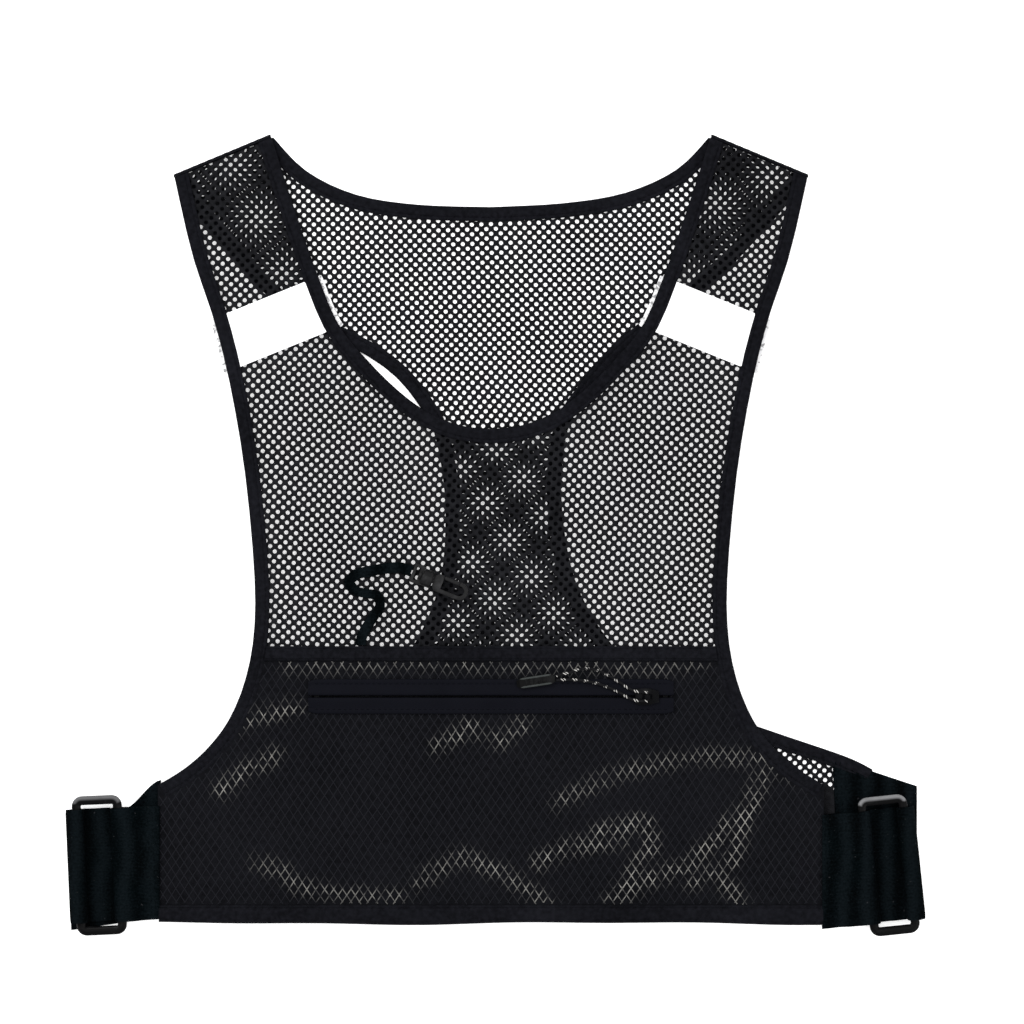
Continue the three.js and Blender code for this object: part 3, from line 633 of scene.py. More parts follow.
# ---- Hems, pocket band and shoulder rolls
def flat_band(node, name, crown, rows, wave=0.0):
    """A sewn band that fills a flat frame piece, softly crowned, with rows of stitches."""
    outer, inner = long_sides(flat_loops(node)[0])
    if outer[:, 1].mean() > inner[:, 1].mean():
        outer, inner = inner, outer
    outer = spaced(outer, 120)
    outer[:, 1] += wave * (np.sin(outer[:, 0] * 27) + 0.6 * np.sin(outer[:, 0] * 61 + 1))
    low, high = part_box(node)
    tall = (high.z - low.z) / MM
    wide = np.linalg.norm(outer[0] - inner[0]) / MM
    section = [(row * wide, tall - 0.35) for row in rows]
    for across in np.arange(11) / 10:
        edge = min(across, 1 - across) * wide
        section.append((across * wide, tall - crown * (1 - soft_step(edge / 1.2))))
    under = [(wide * 0.995, 0.25), (wide * 0.97, 0.0), (wide * 0.03, 0.0), (wide * 0.005, 0.25)]
    profile = [(across * TAPE_WIDTH / wide, up) for across, up in sorted(section) + under]
    shape = Shape()
    swept_band(shape, outer, inner, profile, low.z)
    a, b = spaced(outer, 80), spaced(inner, 80)
    for row in rows:
        stitch_row(shape, a + (b - a) * row, high.z - 0.0003)
    return place(shape.build(name, 40), looks()["binding"], "vest", "binding_tape", node)


class VEST_OT_hems(bpy.types.Operator):
    """Front and rear hems and the sewn band along the top of the pocket"""

    bl_idname = "vest.hems"
    bl_label = "Hems"

    def execute(self, context):
        flat_band("hem_binding", "front_hem_tape", 0.9, [0.14, 0.86], 0.0006)
        flat_band("back_hem_binding", "back_hem_tape", 0.5, [0.14, 0.86])
        flat_band("pocket_top_band", "pocket_top_hem", 0.7, [0.16, 0.84])
        return {"FINISHED"}


def shoulder_roll(side):
    """Cloth and tape rolled over the top of one shoulder."""
    node = f"shoulder_fold_{side}"
    a, b = long_sides(flat_loops(node)[0])
    low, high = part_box(node)
    outer, inner = (a, b) if a[:, 1].mean() > b[:, 1].mean() else (b, a)
    tall = high.z - low.z
    count = 40
    top, back = spaced(outer, count), spaced(inner, count)
    shape = Shape()
    rings = []
    for i in range(count):
        across = top[i] - back[i]
        ring = []
        pucker = 1 + 0.04 * math.sin(i * 1.9)
        for angle in np.linspace(-90, 90, 11):
            turn = math.radians(angle)
            flat = back[i] + across * math.cos(turn) * pucker
            ring.append((*flat, tall / 2 * (1 + math.sin(turn))))
        for angle in np.linspace(80, -80, 9):
            turn = math.radians(angle)
            flat = back[i] + across * 0.55 * math.cos(turn)
            ring.append((*flat, tall / 2 + (tall / 2 - 0.0009) * math.sin(turn)))
        rings.append(np.array(ring))
    shape.rings(rings)
    made = shape.build(f"shoulder_roll_{side}")
    return place(made, looks()["binding"], "vest", "mesh_cloth", node)


class VEST_OT_shoulders(bpy.types.Operator):
    """The rolled tops of both shoulders"""

    bl_idname = "vest.shoulders"
    bl_label = "Shoulder Rolls"

    def execute(self, context):
        for side in ("left", "right"):
            shoulder_roll(side)
        return {"FINISHED"}


# ---- Holed cloth
HOLE_SIDES = 8
CLOTH_THICKNESS = 0.0006
PLAIN_INSET, PLAIN_RISE = 0.006, 0.002  # reach of the plain cloth, from the pocket and the ring


def lattice(low, high, pitch, turn):
    """Centres of a square lattice, turned, over a box."""
    middle = (low + high) / 2
    reach = int(np.linalg.norm(high - low) / pitch / 2) + 2
    steps = np.arange(-reach, reach + 1) * pitch
    grid = np.stack(np.meshgrid(steps, steps), axis=-1).reshape(-1, 2)
    c, s = math.cos(turn), math.sin(turn)
    return middle + grid @ np.array([[c, s], [-s, c]])


def settle(points):
    """How the rear layer has turned and drifted below the shoulders."""
    top, start, turn, drift = 0.1, 0.03, math.radians(2.6), 0.007
    share = 1 - soft_step((points[:, 1] - start) / (top - start))
    angle = turn * share
    pivot = 0.0136
    x, y = points[:, 0], points[:, 1] - pivot
    turned_x = x * np.cos(angle) - y * np.sin(angle)
    turned_y = x * np.sin(angle) + y * np.cos(angle)
    return np.column_stack([turned_x + drift * share, turned_y + pivot])


def ripple(points, size):
    """A gentle wave in cloth that lies loose."""
    x, y = points.T * 1000
    return size * (np.sin(x * 0.09 + y * 0.04) * np.sin(y * 0.07 - x * 0.03 + 1.3))


def pierced(name, node, centres, holed, wave):
    """A cloth with real holes: the frame's outline, pierced at the centres that holed() accepts."""
    cloth = settings()[0]
    outline = flat_loops(node)[0]
    radius = cloth.hole / 2
    near = inside(centres, outline) | (distance_to(centres, outline, True) < radius * 0.8)
    centres = centres[near & holed(centres)]
    turns = np.arange(HOLE_SIDES) * 2 * math.pi / HOLE_SIDES + 0.2
    circle = np.column_stack([np.cos(turns), np.sin(turns)]) * radius
    flat, triangles = triangulated([outline, *(centre + circle for centre in centres)])
    middles = flat[triangles].mean(axis=1)
    keep = inside(middles, outline)
    tree = KDTree(len(centres))
    for i, centre in enumerate(centres):
        tree.insert((*centre, 0), i)
    tree.balance()
    limit = radius * math.cos(math.pi / HOLE_SIDES)
    gap = np.array([tree.find((*m, 0))[2] for m in middles])
    keep &= gap > limit
    flat, triangles = compact(flat, triangles[keep])
    low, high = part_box(node)
    base = (low.z + high.z) / 2 + ripple(flat, wave)
    half = CLOTH_THICKNESS / 2
    points, faces = extruded(flat, triangles, base - half, base + half)
    return Shape().add(points, faces).build(name, 100), outline


def clear_of_pocket_seam(points):
    """The rear cloth is plain beside the pocket's right seam, where it is sewn to the front."""
    beside = points[:, 0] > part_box("pocket_panel")[1].x - PLAIN_INSET
    return ~(beside & (points[:, 1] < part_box("ring_right")[1].y + PLAIN_RISE))


def polygon_area(loop):
    """Area inside a closed outline, above 0 where it turns left."""
    x, y = loop.T
    return float((x * np.roll(y, -1) - y * np.roll(x, -1)).sum() / 2)


class VEST_OT_cloth(bpy.types.Operator):
    """The holed cloth of the front and rear layers"""

    bl_idname = "vest.cloth"
    bl_label = "Holed Cloth"

    def execute(self, context):
        cloth = settings()[0]
        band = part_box("pocket_top_band")[0].y
        for layer in ("front", "back"):
            node = f"{layer}_mesh"
            pitch, turn = getattr(cloth, f"{layer}_pitch"), getattr(cloth, f"{layer}_turn")
            low, high = (np.array(corner[:2]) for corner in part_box(node))
            centres = lattice(low, high, pitch, turn)
            if layer == "back":
                centres = settle(centres)
                holed = clear_of_pocket_seam
            else:
                holed = lambda points: points[:, 1] > band
            made, outline = pierced(f"{layer}_cloth", node, centres, holed, 0.00012)
            place(made, looks()["mesh"], "vest", "mesh_cloth", node)
        return {"FINISHED"}


# ---- Pocket
POCKET_RIM = 0.0013  # how much lower the pocket cloth lies along its edges
NET_HALF = 0.00027  # half the width of a net thread
NET_STEP = 0.0016  # between cross-sections of a thread
GRID_PITCH, GRID_CLEAR = 0.0028, 0.001  # inner points of the pocket cloth, and their edge distance

# Soft creases of the pocket: routes in millimetres across and along the vest, and their strength
CREASES = [
    ([(-150, -140), (-138, -130), (-121, -121)], 0.9),
    ([(-141, -103), (-124, -98), (-108, -94)], 0.8),
    ([(-113, -72), (-53, -70), (13, -71), (90, -73), (112, -70)], 0.6),
    ([(-31, -116), (-14, -105), (2, -113), (16, -103)], 0.9),
    ([(35, -146), (68, -130), (112, -121), (145, -123), (167, -132)], 0.7),
    ([(57, -163), (82, -157), (86, -169), (77, -182), (64, -202)], 1.0),
    ([(24, -179), (41, -171), (68, -167)], 0.9),
    ([(64, -201), (85, -188), (107, -180), (126, -160), (134, -152)], 1.0),
    ([(129, -179), (140, -146), (154, -116)], 1.0),
    ([(-130, -180), (-116, -184), (-108, -193), (-86, -197), (-53, -199)], 0.7),
    ([(-42, -190), (-20, -176), (2, -184), (27, -201)], 0.8),
    ([(107, -190), (121, -184), (135, -203)], 0.8),
]
CREASE_REACH = 0.0055


def pocket_parts():
    """Outline of the pocket, and of the zip's window in it."""
    return flat_loops("pocket_panel")[:2]


def crease_field(points):
    """Height share and light share of the creases at each point."""
    height = np.zeros(len(points))
    light = np.zeros(len(points))
    for route, strength in CREASES:
        line = spaced(np.array(route) * MM, 24)
        gap = distance_to(points, line) / CREASE_REACH
        height = np.maximum(height, strength * np.exp(-gap * gap))
        light = np.maximum(light, strength * np.exp(-((gap * 1.1) ** 2)))
    return height, light


def pocket_height(points):
    """Top of the pocket cloth, in metres, and how much it catches the light."""
    outline, window = pocket_parts()
    edge = distance_to(points, outline, True)
    zip_gap = distance_to(points, window, True)
    height, light = crease_field(points)
    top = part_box("pocket_panel")[1].z - 0.0003
    calm = soft_step(edge / 0.012) * soft_step((zip_gap - 0.004) / 0.010)
    rim = POCKET_RIM * (1 - soft_step(edge / 0.012)) * soft_step((zip_gap - 0.006) / 0.01)
    puff = ripple(points, 0.0003)
    crease = settings()[0].crease
    return top - rim + calm * (crease * height + puff), light


def grown(loop, reach):
    """A closed outline moved outwards; one that turns right moves inwards."""
    along = np.roll(loop, -1, axis=0) - np.roll(loop, 1, axis=0)
    along /= np.maximum(np.linalg.norm(along, axis=1), 1e-12)[:, None]
    turns = np.sign(polygon_area(loop))
    return loop + np.column_stack([along[:, 1], -along[:, 0]]) * reach * turns


SEAM = 0.0007  # cloth that runs on under the hem and the top band


def pocket_cloth():
    """The cloth of the pocket, with creases and a lower rim."""
    outline, window = pocket_parts()
    outline = grown(outline, SEAM)
    low, high = (np.array(corner[:2]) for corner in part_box("pocket_panel"))
    grid = lattice(low, high, GRID_PITCH, math.radians(30))
    clear = inside(grid, outline) & ~inside(grid, window)
    for edge in (outline, window):
        clear &= distance_to(grid, edge, True) > GRID_CLEAR
    flat, triangles = triangulated([outline, window], grid[clear])
    middles = flat[triangles].mean(axis=1)
    flat, triangles = compact(flat, triangles[inside(middles, outline) & ~inside(middles, window)])
    top, light = pocket_height(flat)
    points, faces = extruded(flat, triangles, top - CLOTH_THICKNESS, top)
    made = Shape().add(points, faces).build("pocket_cloth", 60)
    place(made, looks()["pocket"], "vest", "pocket_cloth", "pocket_panel")


def runs_of(mask):
    """First and last index of each unbroken run of true values."""
    edges = np.flatnonzero(np.diff(np.concatenate([[0], mask.astype(int), [0]])))
    return list(zip(edges[::2], edges[1::2] - 1))


def pocket_net():
    """Diamond net laid over the pocket cloth, thread by thread."""
    cloth = settings()[0]
    outline, window = pocket_parts()
    low, high = (np.array(corner[:2]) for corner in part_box("pocket_panel"))
    middle = (low + high) / 2
    reach = np.linalg.norm(high - low) / 2
    shape = Shape()
    for family, sign in enumerate((1, -1)):
        along = np.array([math.cos(cloth.net_lean) * sign, math.sin(cloth.net_lean)])
        across = np.array([-along[1], along[0]])
        count = int(reach / cloth.net_pitch)
        for k in range(-count, count + 1):
            start = middle + across * cloth.net_pitch * k
            steps = np.arange(-reach, reach, NET_STEP)
            sway = 0.00025 * np.sin(steps * 90 + k * 0.7)
            line = start + steps[:, None] * along + sway[:, None] * across
            mask = inside(line, outline) & ~inside(line, window)
            for first, last in runs_of(mask):
                if last - first >= 2:
                    thread(shape, line[first : last + 1], across, family)
    place(shape.build("pocket_net", 80), looks()["net"], "vest", "pocket_cloth")


def thread(shape, line, across, family):
    """One flat thread of the net, rising and dipping where it crosses the others."""
    top, light = pocket_height(line)
    z = top + 0.00004 + 0.00006 * np.sin(np.arange(len(line)) * 1.2 + family * math.pi)
    section = [(NET_HALF, 0), (0, 0.00022), (-NET_HALF, 0), (0, -0.0001)]
    rings = [
        np.array([(*(spot + across * out), height + up) for out, up in section])
        for spot, height in zip(line, z)
    ]
    shape.rings(rings, value=np.repeat(light, len(section)))


class VEST_OT_pocket(bpy.types.Operator):
    """The creased pocket cloth and the diamond net on it"""

    bl_idname = "vest.pocket"
    bl_label = "Pocket"

    def execute(self, context):
        pocket_cloth()
        pocket_net()
        return {"FINISHED"}


# ---- Zip
def rounded_copy(node, name, bevel, look, body, slot):
    """A frame piece with its flat faces joined and its edges rounded."""
    mesh = frame["nodes"][node].data.copy()
    made = bpy.data.objects.new(name, mesh)
    bpy.context.scene.collection.objects.link(made)
    work = bmesh.new()
    work.from_mesh(mesh)
    bmesh.ops.remove_doubles(work, verts=work.verts, dist=2e-6)
    bmesh.ops.dissolve_limit(work, angle_limit=math.radians(2), verts=work.verts, edges=work.edges)
    work.to_mesh(mesh)
    work.free()
    round_off = made.modifiers.new("round", "BEVEL")
    round_off.width = bevel
    round_off.segments = 3
    round_off.limit_method = "ANGLE"
    round_off.angle_limit = math.radians(25)
    round_off.harden_normals = False
    applied(made)
    made.data.shade_smooth()
    made.data.set_sharp_from_angle(angle=math.radians(40))
    return place(made, looks()[look], body, slot, node)


def applied(made):
    """Applies a piece's modifiers."""
    depsgraph = bpy.context.evaluated_depsgraph_get()
    finished = bpy.data.meshes.new_from_object(made.evaluated_get(depsgraph))
    made.modifiers.clear()
    made.data = finished


SLIT_HALF = 0.00055  # half the gap between the lips


def zip_lip(which, side):
    """One coated lip of the zip, rounded where the two meet, sewn down along its outer edge."""
    node = f"zip_tape_{which}"
    low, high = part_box(node)
    middle = (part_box("zip_tape_upper")[0].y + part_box("zip_tape_lower")[1].y) / 2
    far = high.y if side > 0 else low.y
    width = abs(far - middle)
    rings = []
    for share in np.arange(91) / 90:
        x = low.x + (high.x - low.x) * share
        end = min(share, 1 - share) * (high.x - low.x)
        tuck = 0.0012 * (1 - soft_step(end / 0.004))
        lift = 0.00012 * math.sin(share * 40) + 0.0001 * math.sin(share * 93 + side)
        section = [
            (SLIT_HALF + 0.0002, low.z + 0.0001),
            (SLIT_HALF, low.z + 0.0005),
            (SLIT_HALF + 0.0003, high.z + 0.0003 + lift),
            (SLIT_HALF + 0.0012, high.z + 0.00045 + lift),
            (SLIT_HALF + 0.003, high.z + 0.0002 + lift),
            (width * 0.62, high.z - 0.00005),
            (width * 0.74 - tuck, high.z - 0.00022),
            (width * 0.8 - tuck, high.z - 0.00005),
            (width - 0.0003 - tuck, high.z - 0.0001),
            (width - tuck, high.z - 0.0004),
            (width - 0.0001 - tuck, low.z),
        ]
        rings.append(np.array([(x, middle + side * y, z) for y, z in section]))
    shape = Shape().rings(rings)
    seam = middle + side * width * 0.74
    row = np.array([(low.x + 0.003, seam), (high.x - 0.003, seam)])
    stitch_row(shape, row, high.z - 0.00012)
    place(shape.build(f"zip_lip_{which}", 60), looks()["zip"], "vest", "zip_fabric", node)


def zip_teeth(which, side):
    """The coil of one side, a real helix under its lip."""
    node = f"zip_coil_{which}"
    low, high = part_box(node)
    middle_y, middle_z = (low.y + high.y) / 2, (low.z + high.z) / 2
    pitch, steps, wire = 0.00125, 8, 0.0002
    turns = int((high.x - low.x) / pitch)
    reach_y, reach_z = (high.y - low.y) / 2 - wire, (high.z - low.z) / 2 - wire
    rings = []
    for i in range(turns * steps + 1):
        turn = 2 * math.pi * i / steps
        x = low.x + wire + i * pitch / steps
        ring = []
        for corner in range(4):
            angle = math.pi / 2 * corner
            grow = wire * math.cos(angle)
            y = middle_y + side * (reach_y + grow) * math.cos(turn)
            z = middle_z + (reach_z + grow) * math.sin(turn)
            ring.append((x + wire * math.sin(angle), y, z))
        rings.append(np.array(ring))
    made = Shape().rings(rings).build(f"zip_teeth_{which}", 60)
    place(made, looks()["zip"], "vest", "zip_fabric", node)


class VEST_OT_zip(bpy.types.Operator):
    """Coated lips, coils, end stops and slider of the pocket zip"""

    bl_idname = "vest.zip"
    bl_label = "Zip"

    def execute(self, context):
        for which, side in (("upper", 1), ("lower", -1)):
            zip_lip(which, side)
            zip_teeth(which, side)
        for side in ("left", "right"):
            stop, name = f"zip_stop_{side}", f"zip_end_stop_{side}"
            rounded_copy(stop, name, 0.00025, "metal", "vest", "dark_metal")
        rounded_copy("zip_slider", "zip_slider_body", 0.0002, "metal", "zip_slider", "dark_metal")
        return {"FINISHED"}


# ---- Zip pull
# The two strands of the cord from the slider's eye, in millimetres from the slider's middle
UPPER_STRAND = [
    (0.2, 2.3, 0), (-3.5, 2.6, 0), (-8.5, 3.8, 0), (-16, 8.5, -0.6), (-26, 14, -1),
    (-35, 15.3, -1), (-43, 13, -1), (-49.7, 11.4, -1),
]
LOWER_STRAND = [
    (0.2, -2.3, 0), (-3.5, -2.3, 0), (-8.5, -1.4, 0), (-16, 2.8, -0.6), (-26, 6.8, -1),
    (-35, 8.8, -1), (-43, 9.3, -1), (-49.7, 9, -1),
]
FLECK_PITCH, FLECK_LENGTH = 6.0, 1.9  # mm from light fleck to light fleck, and of each
YARNS, YARN_LAY = 4, 0.0032  # yarns in the cord, and the length of one turn of them


def round_section(corners):
    """Directions to the corners of a round cross-section."""
    angles = 2 * math.pi * np.arange(corners) / corners
    return np.column_stack([np.cos(angles), np.sin(angles)])


def through(points, count):
    """A smooth line through points, as a centripetal Catmull-Rom curve does it."""
    points = np.asarray(points, float)
    ends = [2 * points[0] - points[1], *points, 2 * points[-1] - points[-2]]
    line = []
    for i in range(len(points) - 1):
        p = ends[i : i + 4]
        t = [0.0]
        for a, b in zip(p, p[1:]):
            t.append(t[-1] + max(np.linalg.norm(b - a), 1e-9) ** 0.5)
        for u in np.linspace(t[1], t[2], 14, endpoint=False):
            near = p
            for reach, first in ((1, 0), (2, 0), (1, 1)):
                near = [
                    (a * (t[j + reach] - u) + b * (u - t[j])) / (t[j + reach] - t[j])
                    for j, (a, b) in enumerate(zip(near, near[1:]), first)
                ]
            line.append(near[0])
    line.append(points[-1])
    return spaced(line, count)


def sides_of(line):
    """Two directions square to each stretch of a line that lies nearly flat."""
    along = np.gradient(line, axis=0)
    along /= np.linalg.norm(along, axis=1)[:, None]
    flat = np.cross(np.array([0, 0, 1.0]), along)
    flat /= np.linalg.norm(flat, axis=1)[:, None]
    return flat, np.cross(along, flat)


def twisted(shape, line, radius):
    """A cord of yarns twisted round each other, the light one showing in flecks."""
    flat, up = sides_of(line)
    along = np.concatenate([[0], np.cumsum(np.linalg.norm(np.diff(line, axis=0), axis=1))])
    for yarn in range(YARNS):
        turn = 2 * math.pi * (along / YARN_LAY + yarn / YARNS)
        core = line + (flat * np.cos(turn)[:, None] + up * np.sin(turn)[:, None]) * radius * 0.5
        phase = (along / MM + yarn * FLECK_PITCH / YARNS * 0.35) % FLECK_PITCH
        catch = ((phase < FLECK_LENGTH) & (yarn % 2 == 0)).astype(float)
        rings = [
            np.array([spot + (a * x + b * y) * radius * 0.52 for x, y in round_section(6)])
            for spot, a, b in zip(core, flat, up)
        ]
        shape.rings(rings, value=np.repeat(catch, 6))


def joint(name):
    return next(found for found in frame["joints"] if found["name"] == name)


def pull_cord():
    """Two strands of braid from the slider's eye to the tab, and the bight through the eye."""
    pivot = joint("pull_flip")["pos_m"]
    shape = Shape()
    for strand in (UPPER_STRAND, LOWER_STRAND):
        line = np.array(pivot) + through(np.array(strand) * MM, 150)
        twisted(shape, line, 0.0008)
    x, y, z = pivot
    shape.rings([
        np.array([(x + 0.0002 + 0.0007 * c, y + out, z + 0.0007 * s) for c, s in round_section(8)])
        for out in np.linspace(-0.0023, 0.0023, 14)
    ])
    made = shape.build("pull_cord_braid", 80)
    place(made, looks()["cord"], "zip_pull", "braided_cord", "pull_cord")


TAB_TURN = math.radians(8.5)
TAB_LENGTH, TAB_WIDTH = 0.0212, 0.0058


def pull_tab():
    """A moulded grip with a ribbed hollow between two pale raised edges."""
    low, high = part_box("pull_tab")
    centre = (low + high) / 2
    turn = Matrix.Rotation(TAB_TURN, 3, "Z")
    tall = high.z - low.z
    rings = []
    for share in np.arange(45) / 44:
        x = (share - 0.5) * TAB_LENGTH
        nose = min(share, 1 - share) * TAB_LENGTH
        half = TAB_WIDTH / 2 * (0.62 + 0.38 * soft_step(nose / 0.003))
        rib = 0.00018 * math.sin(share * 2 * math.pi * 9) * soft_step((nose - 0.003) / 0.002)
        floor = tall * 0.3 * soft_step(nose / 0.002)
        ring = [
            (-half, -floor), (-half, floor), (-half * 0.55, floor + rib), (0, floor + rib),
            (half * 0.55, floor + rib), (half, floor), (half, -floor), (0, -floor - rib),
        ]
        rings.append(np.array([centre + turn @ Vector((x, y, z)) for y, z in ring]))
    made = Shape().rings(rings).build("pull_tab_grip", 40)
    place(made, looks()["plastic"], "zip_pull", "black_plastic", "pull_tab")
    rails = Shape()
    for side in (-1, 1):
        rings = []
        for share in np.arange(25) / 24:
            x = (share - 0.5) * TAB_LENGTH * 0.84
            radius = 0.00018 + 0.00042 * soft_step(min(share, 1 - share) / 0.12)
            ring = []
            for c, s in round_section(8):
                y = side * (TAB_WIDTH / 2 - 0.0006) + radius * c
                ring.append(centre + turn @ Vector((x, y, tall * 0.2 + radius * 0.9 * s)))
            rings.append(np.array(ring))
        rails.rings(rings)
    place(rails.build("pull_tab_edges", 60), looks()["edge"], "zip_pull", "black_plastic")


class VEST_OT_pull(bpy.types.Operator):
    """The zip's braided cord and its moulded tab"""

    bl_idname = "vest.pull"
    bl_label = "Zip Pull"

    def execute(self, context):
        pull_cord()
        pull_tab()
        return {"FINISHED"}


# ---- Reflective bands
# A tape's border: share of its size and height above its underside, from the edge inwards
TAPE_LEVELS = [
    (1.0, 0.00005), (1.0, 0.0003), (0.997, 0.0004), (0.965, 0.00036), (0.955, 0.00042),
    (0.5, 0.00045),
]


def reflector(node, name, look):
    """Reflective tape laid on a strap, with a thin pressed border."""
    outline = flat_loops(node)[0]
    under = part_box(node)[0].z
    count = 120
    rim = spaced(np.concatenate([outline, outline[:1]]), count + 1)[:-1]
    centre = rim.mean(axis=0)
    points = [
        (*(centre + (spot - centre) * share), under + rise)
        for share, rise in TAPE_LEVELS for spot in rim
    ]
    last = len(points) - count
    points += [(*centre, under + TAPE_LEVELS[-1][1]), (*centre, under + TAPE_LEVELS[0][1])]
    faces = []
    for i in range(count):
        j = (i + 1) % count
        for a in range(0, last, count):
            faces.append((a + i, a + j, a + count + j, a + count + i))
        faces += [(last + i, last + j, len(points) - 2), (j, i, len(points) - 1)]
    made = Shape().add(points, faces).build(name, 40)
    return place(made, looks()[look], "vest", "reflective_tape", node)


class VEST_OT_reflectors(bpy.types.Operator):
    """White tape on the front straps and the silver tape behind them"""

    bl_idname = "vest.reflectors"
    bl_label = "Reflectors"

    def execute(self, context):
        for side in ("left", "right"):
            reflector(f"reflector_front_{side}", f"front_reflective_tape_{side}", "front tape")
            reflector(f"reflector_rear_{side}", f"rear_reflective_tape_{side}", "rear tape")
        return {"FINISHED"}


# ---- Side straps and rings
# Millimetres
RING_WIDTH, RING_LENGTH, RING_BAR, RING_HEIGHT, RING_CORNER = 27.5, 76.5, 5.0, 4.0, 5.0
BAR_PLACE = RING_WIDTH / 2 - RING_BAR / 2  # from the ring's middle to its bars' middles
WEB = 1.15  # thickness of the webbing round the bars
LOOP_HALF = 3.9  # half the height of a loop round a bar
BAR_REACH = 3.4  # from a bar's middle to the webbing in the slot
STRAP_WIDTH = 62.0
STRAP_THICKNESS = 0.0013  # metres
RING_HIGHLIGHT = {"left": 0.55, "right": 1.0}  # strength of the painted highlight on each ring's upper bar


class SideFrame:
    """Places points given from a ring's middle: outward, along and up, in millimetres."""

    def __init__(self, side):
        self.sign = -1 if side == "left" else 1
        low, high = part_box(f"ring_{side}")
        self.centre = (low + high) / 2
        axis = joint(f"{side}_ring_tilt")["axis"]
        self.lean = math.atan2(-axis[0], axis[1]) if axis[1] > 0 else math.atan2(axis[0], -axis[1])

    def __call__(self, out, along, up):
        x, y = self.sign * out * MM, along * MM
        c, s = math.cos(self.lean), math.sin(self.lean)
        centre = self.centre
        return (centre.x + x * c - y * s, centre.y + x * s + y * c, centre.z + up * MM)


def ring_piece(side):
    """A plastic ring of rounded bar."""
    at = SideFrame(side)
    half_x, half_y = BAR_PLACE, RING_LENGTH / 2 - RING_BAR / 2
    corner = RING_CORNER - RING_BAR / 2 + 0.6
    path = []
    for quarter, (cx, cy) in enumerate([(1, 1), (-1, 1), (-1, -1), (1, -1)]):
        for angle in np.linspace(0, 90, 7):
            turn = math.radians(angle + 90 * quarter)
            out = np.array([math.cos(turn), math.sin(turn)])
            core = np.array([cx * (half_x - corner), cy * (half_y - corner)])
            path.append((core + out * corner, out))
    rings, painted_highlight = [], []
    for (x, y), out in path:
        ring = []
        for i, (c, s) in enumerate(round_section(16)):
            round_c = math.copysign(abs(c) ** 0.7, c) * RING_BAR / 2
            round_s = math.copysign(abs(s) ** 0.7, s) * RING_HEIGHT / 2
            ring.append(at(x + out[0] * round_c, y + out[1] * round_c, round_s))
            # painted highlight: the upper bar's outer shoulder is painted pale
            painted_highlight.append(float(i in (1, 2, 3) and y > 0 and out[1] > 0.3) * RING_HIGHLIGHT[side])
        rings.append(np.array(ring))
    made = Shape().rings(rings, closed=True, value=painted_highlight).build(f"slotted_ring_{side}", 80)
    place(made, looks()["plastic"], f"{side}_ring", "black_plastic", f"ring_{side}")


def webbing(shape, at, path, clamp=None):
    """Strap webbing that follows a path in the out and up plane, cut off at a seam."""
    path = np.array(path, float)
    along = np.concatenate([path[1:], path[-1:]]) - np.concatenate([path[:1], path[:-1]])
    along /= np.linalg.norm(along, axis=1)[:, None]
    square = np.column_stack([-along[:, 1], along[:, 0]])
    spots = np.linspace(-STRAP_WIDTH / 2, STRAP_WIDTH / 2, 27)
    last = len(spots) - 1
    rings = []
    for i, (x, z) in enumerate(path):
        ring = []
        bulge = 0.054 * math.sin(i * 0.9)
        for face in (1, -1):
            for k in range(last + 1)[::face]:
                end = k in (0, last)
                lift = face * (WEB / 2 - 0.25 * end)
                spot = at(x + square[i][0] * lift, spots[k] + bulge * end, z + square[i][1] * lift)
                if clamp is not None and at.sign * spot[0] < clamp:
                    spot = (at.sign * clamp, *spot[1:])
                ring.append(spot)
        rings.append(np.array(ring))
    shape.rings(rings)


def arc(centre, radius, start, end, steps):
    """Points of an arc between two angles, in degrees."""
    angles = np.radians(np.linspace(start, end, steps))
    return [(centre[0] + radius * math.cos(a), centre[1] + radius * math.sin(a)) for a in angles]


def dense(path):
    """The path with a point every 1.6 mm."""
    return spaced(path, max(3, int(length_of(np.array(path, float)) / 1.6)))


def strap_end(side):
    """The side strap's outer end, folded round the ring's outer bar."""
    at = SideFrame(side)
    mid = LOOP_HALF - WEB / 2
    slot_side = BAR_PLACE - BAR_REACH
    outside = BAR_PLACE + 5.6
    path = [
        (-6.9, -mid),
        (slot_side, -mid),
        *arc((outside - mid, 0), mid, -90, 90, 12),
        *arc((slot_side + 2.2, mid - 2.2), 2.2, 90, 180, 6),
        (slot_side, -mid + 1.6),
    ]
    shape = Shape()
    webbing(shape, at, dense(path))
    for along in (-29.5, 29.5):
        row = np.array([at(x, along, 0)[:2] for x in np.linspace(slot_side + 3, outside - 4, 8)])
        stitch_row(shape, row, at.centre.z + (mid + WEB / 2) * MM - 0.00006)
    made = shape.build(f"strap_turn_{side}", 50)
    place(made, looks()["elastic"], f"{side}_ring", "elastic_webbing", f"strap_end_{side}")


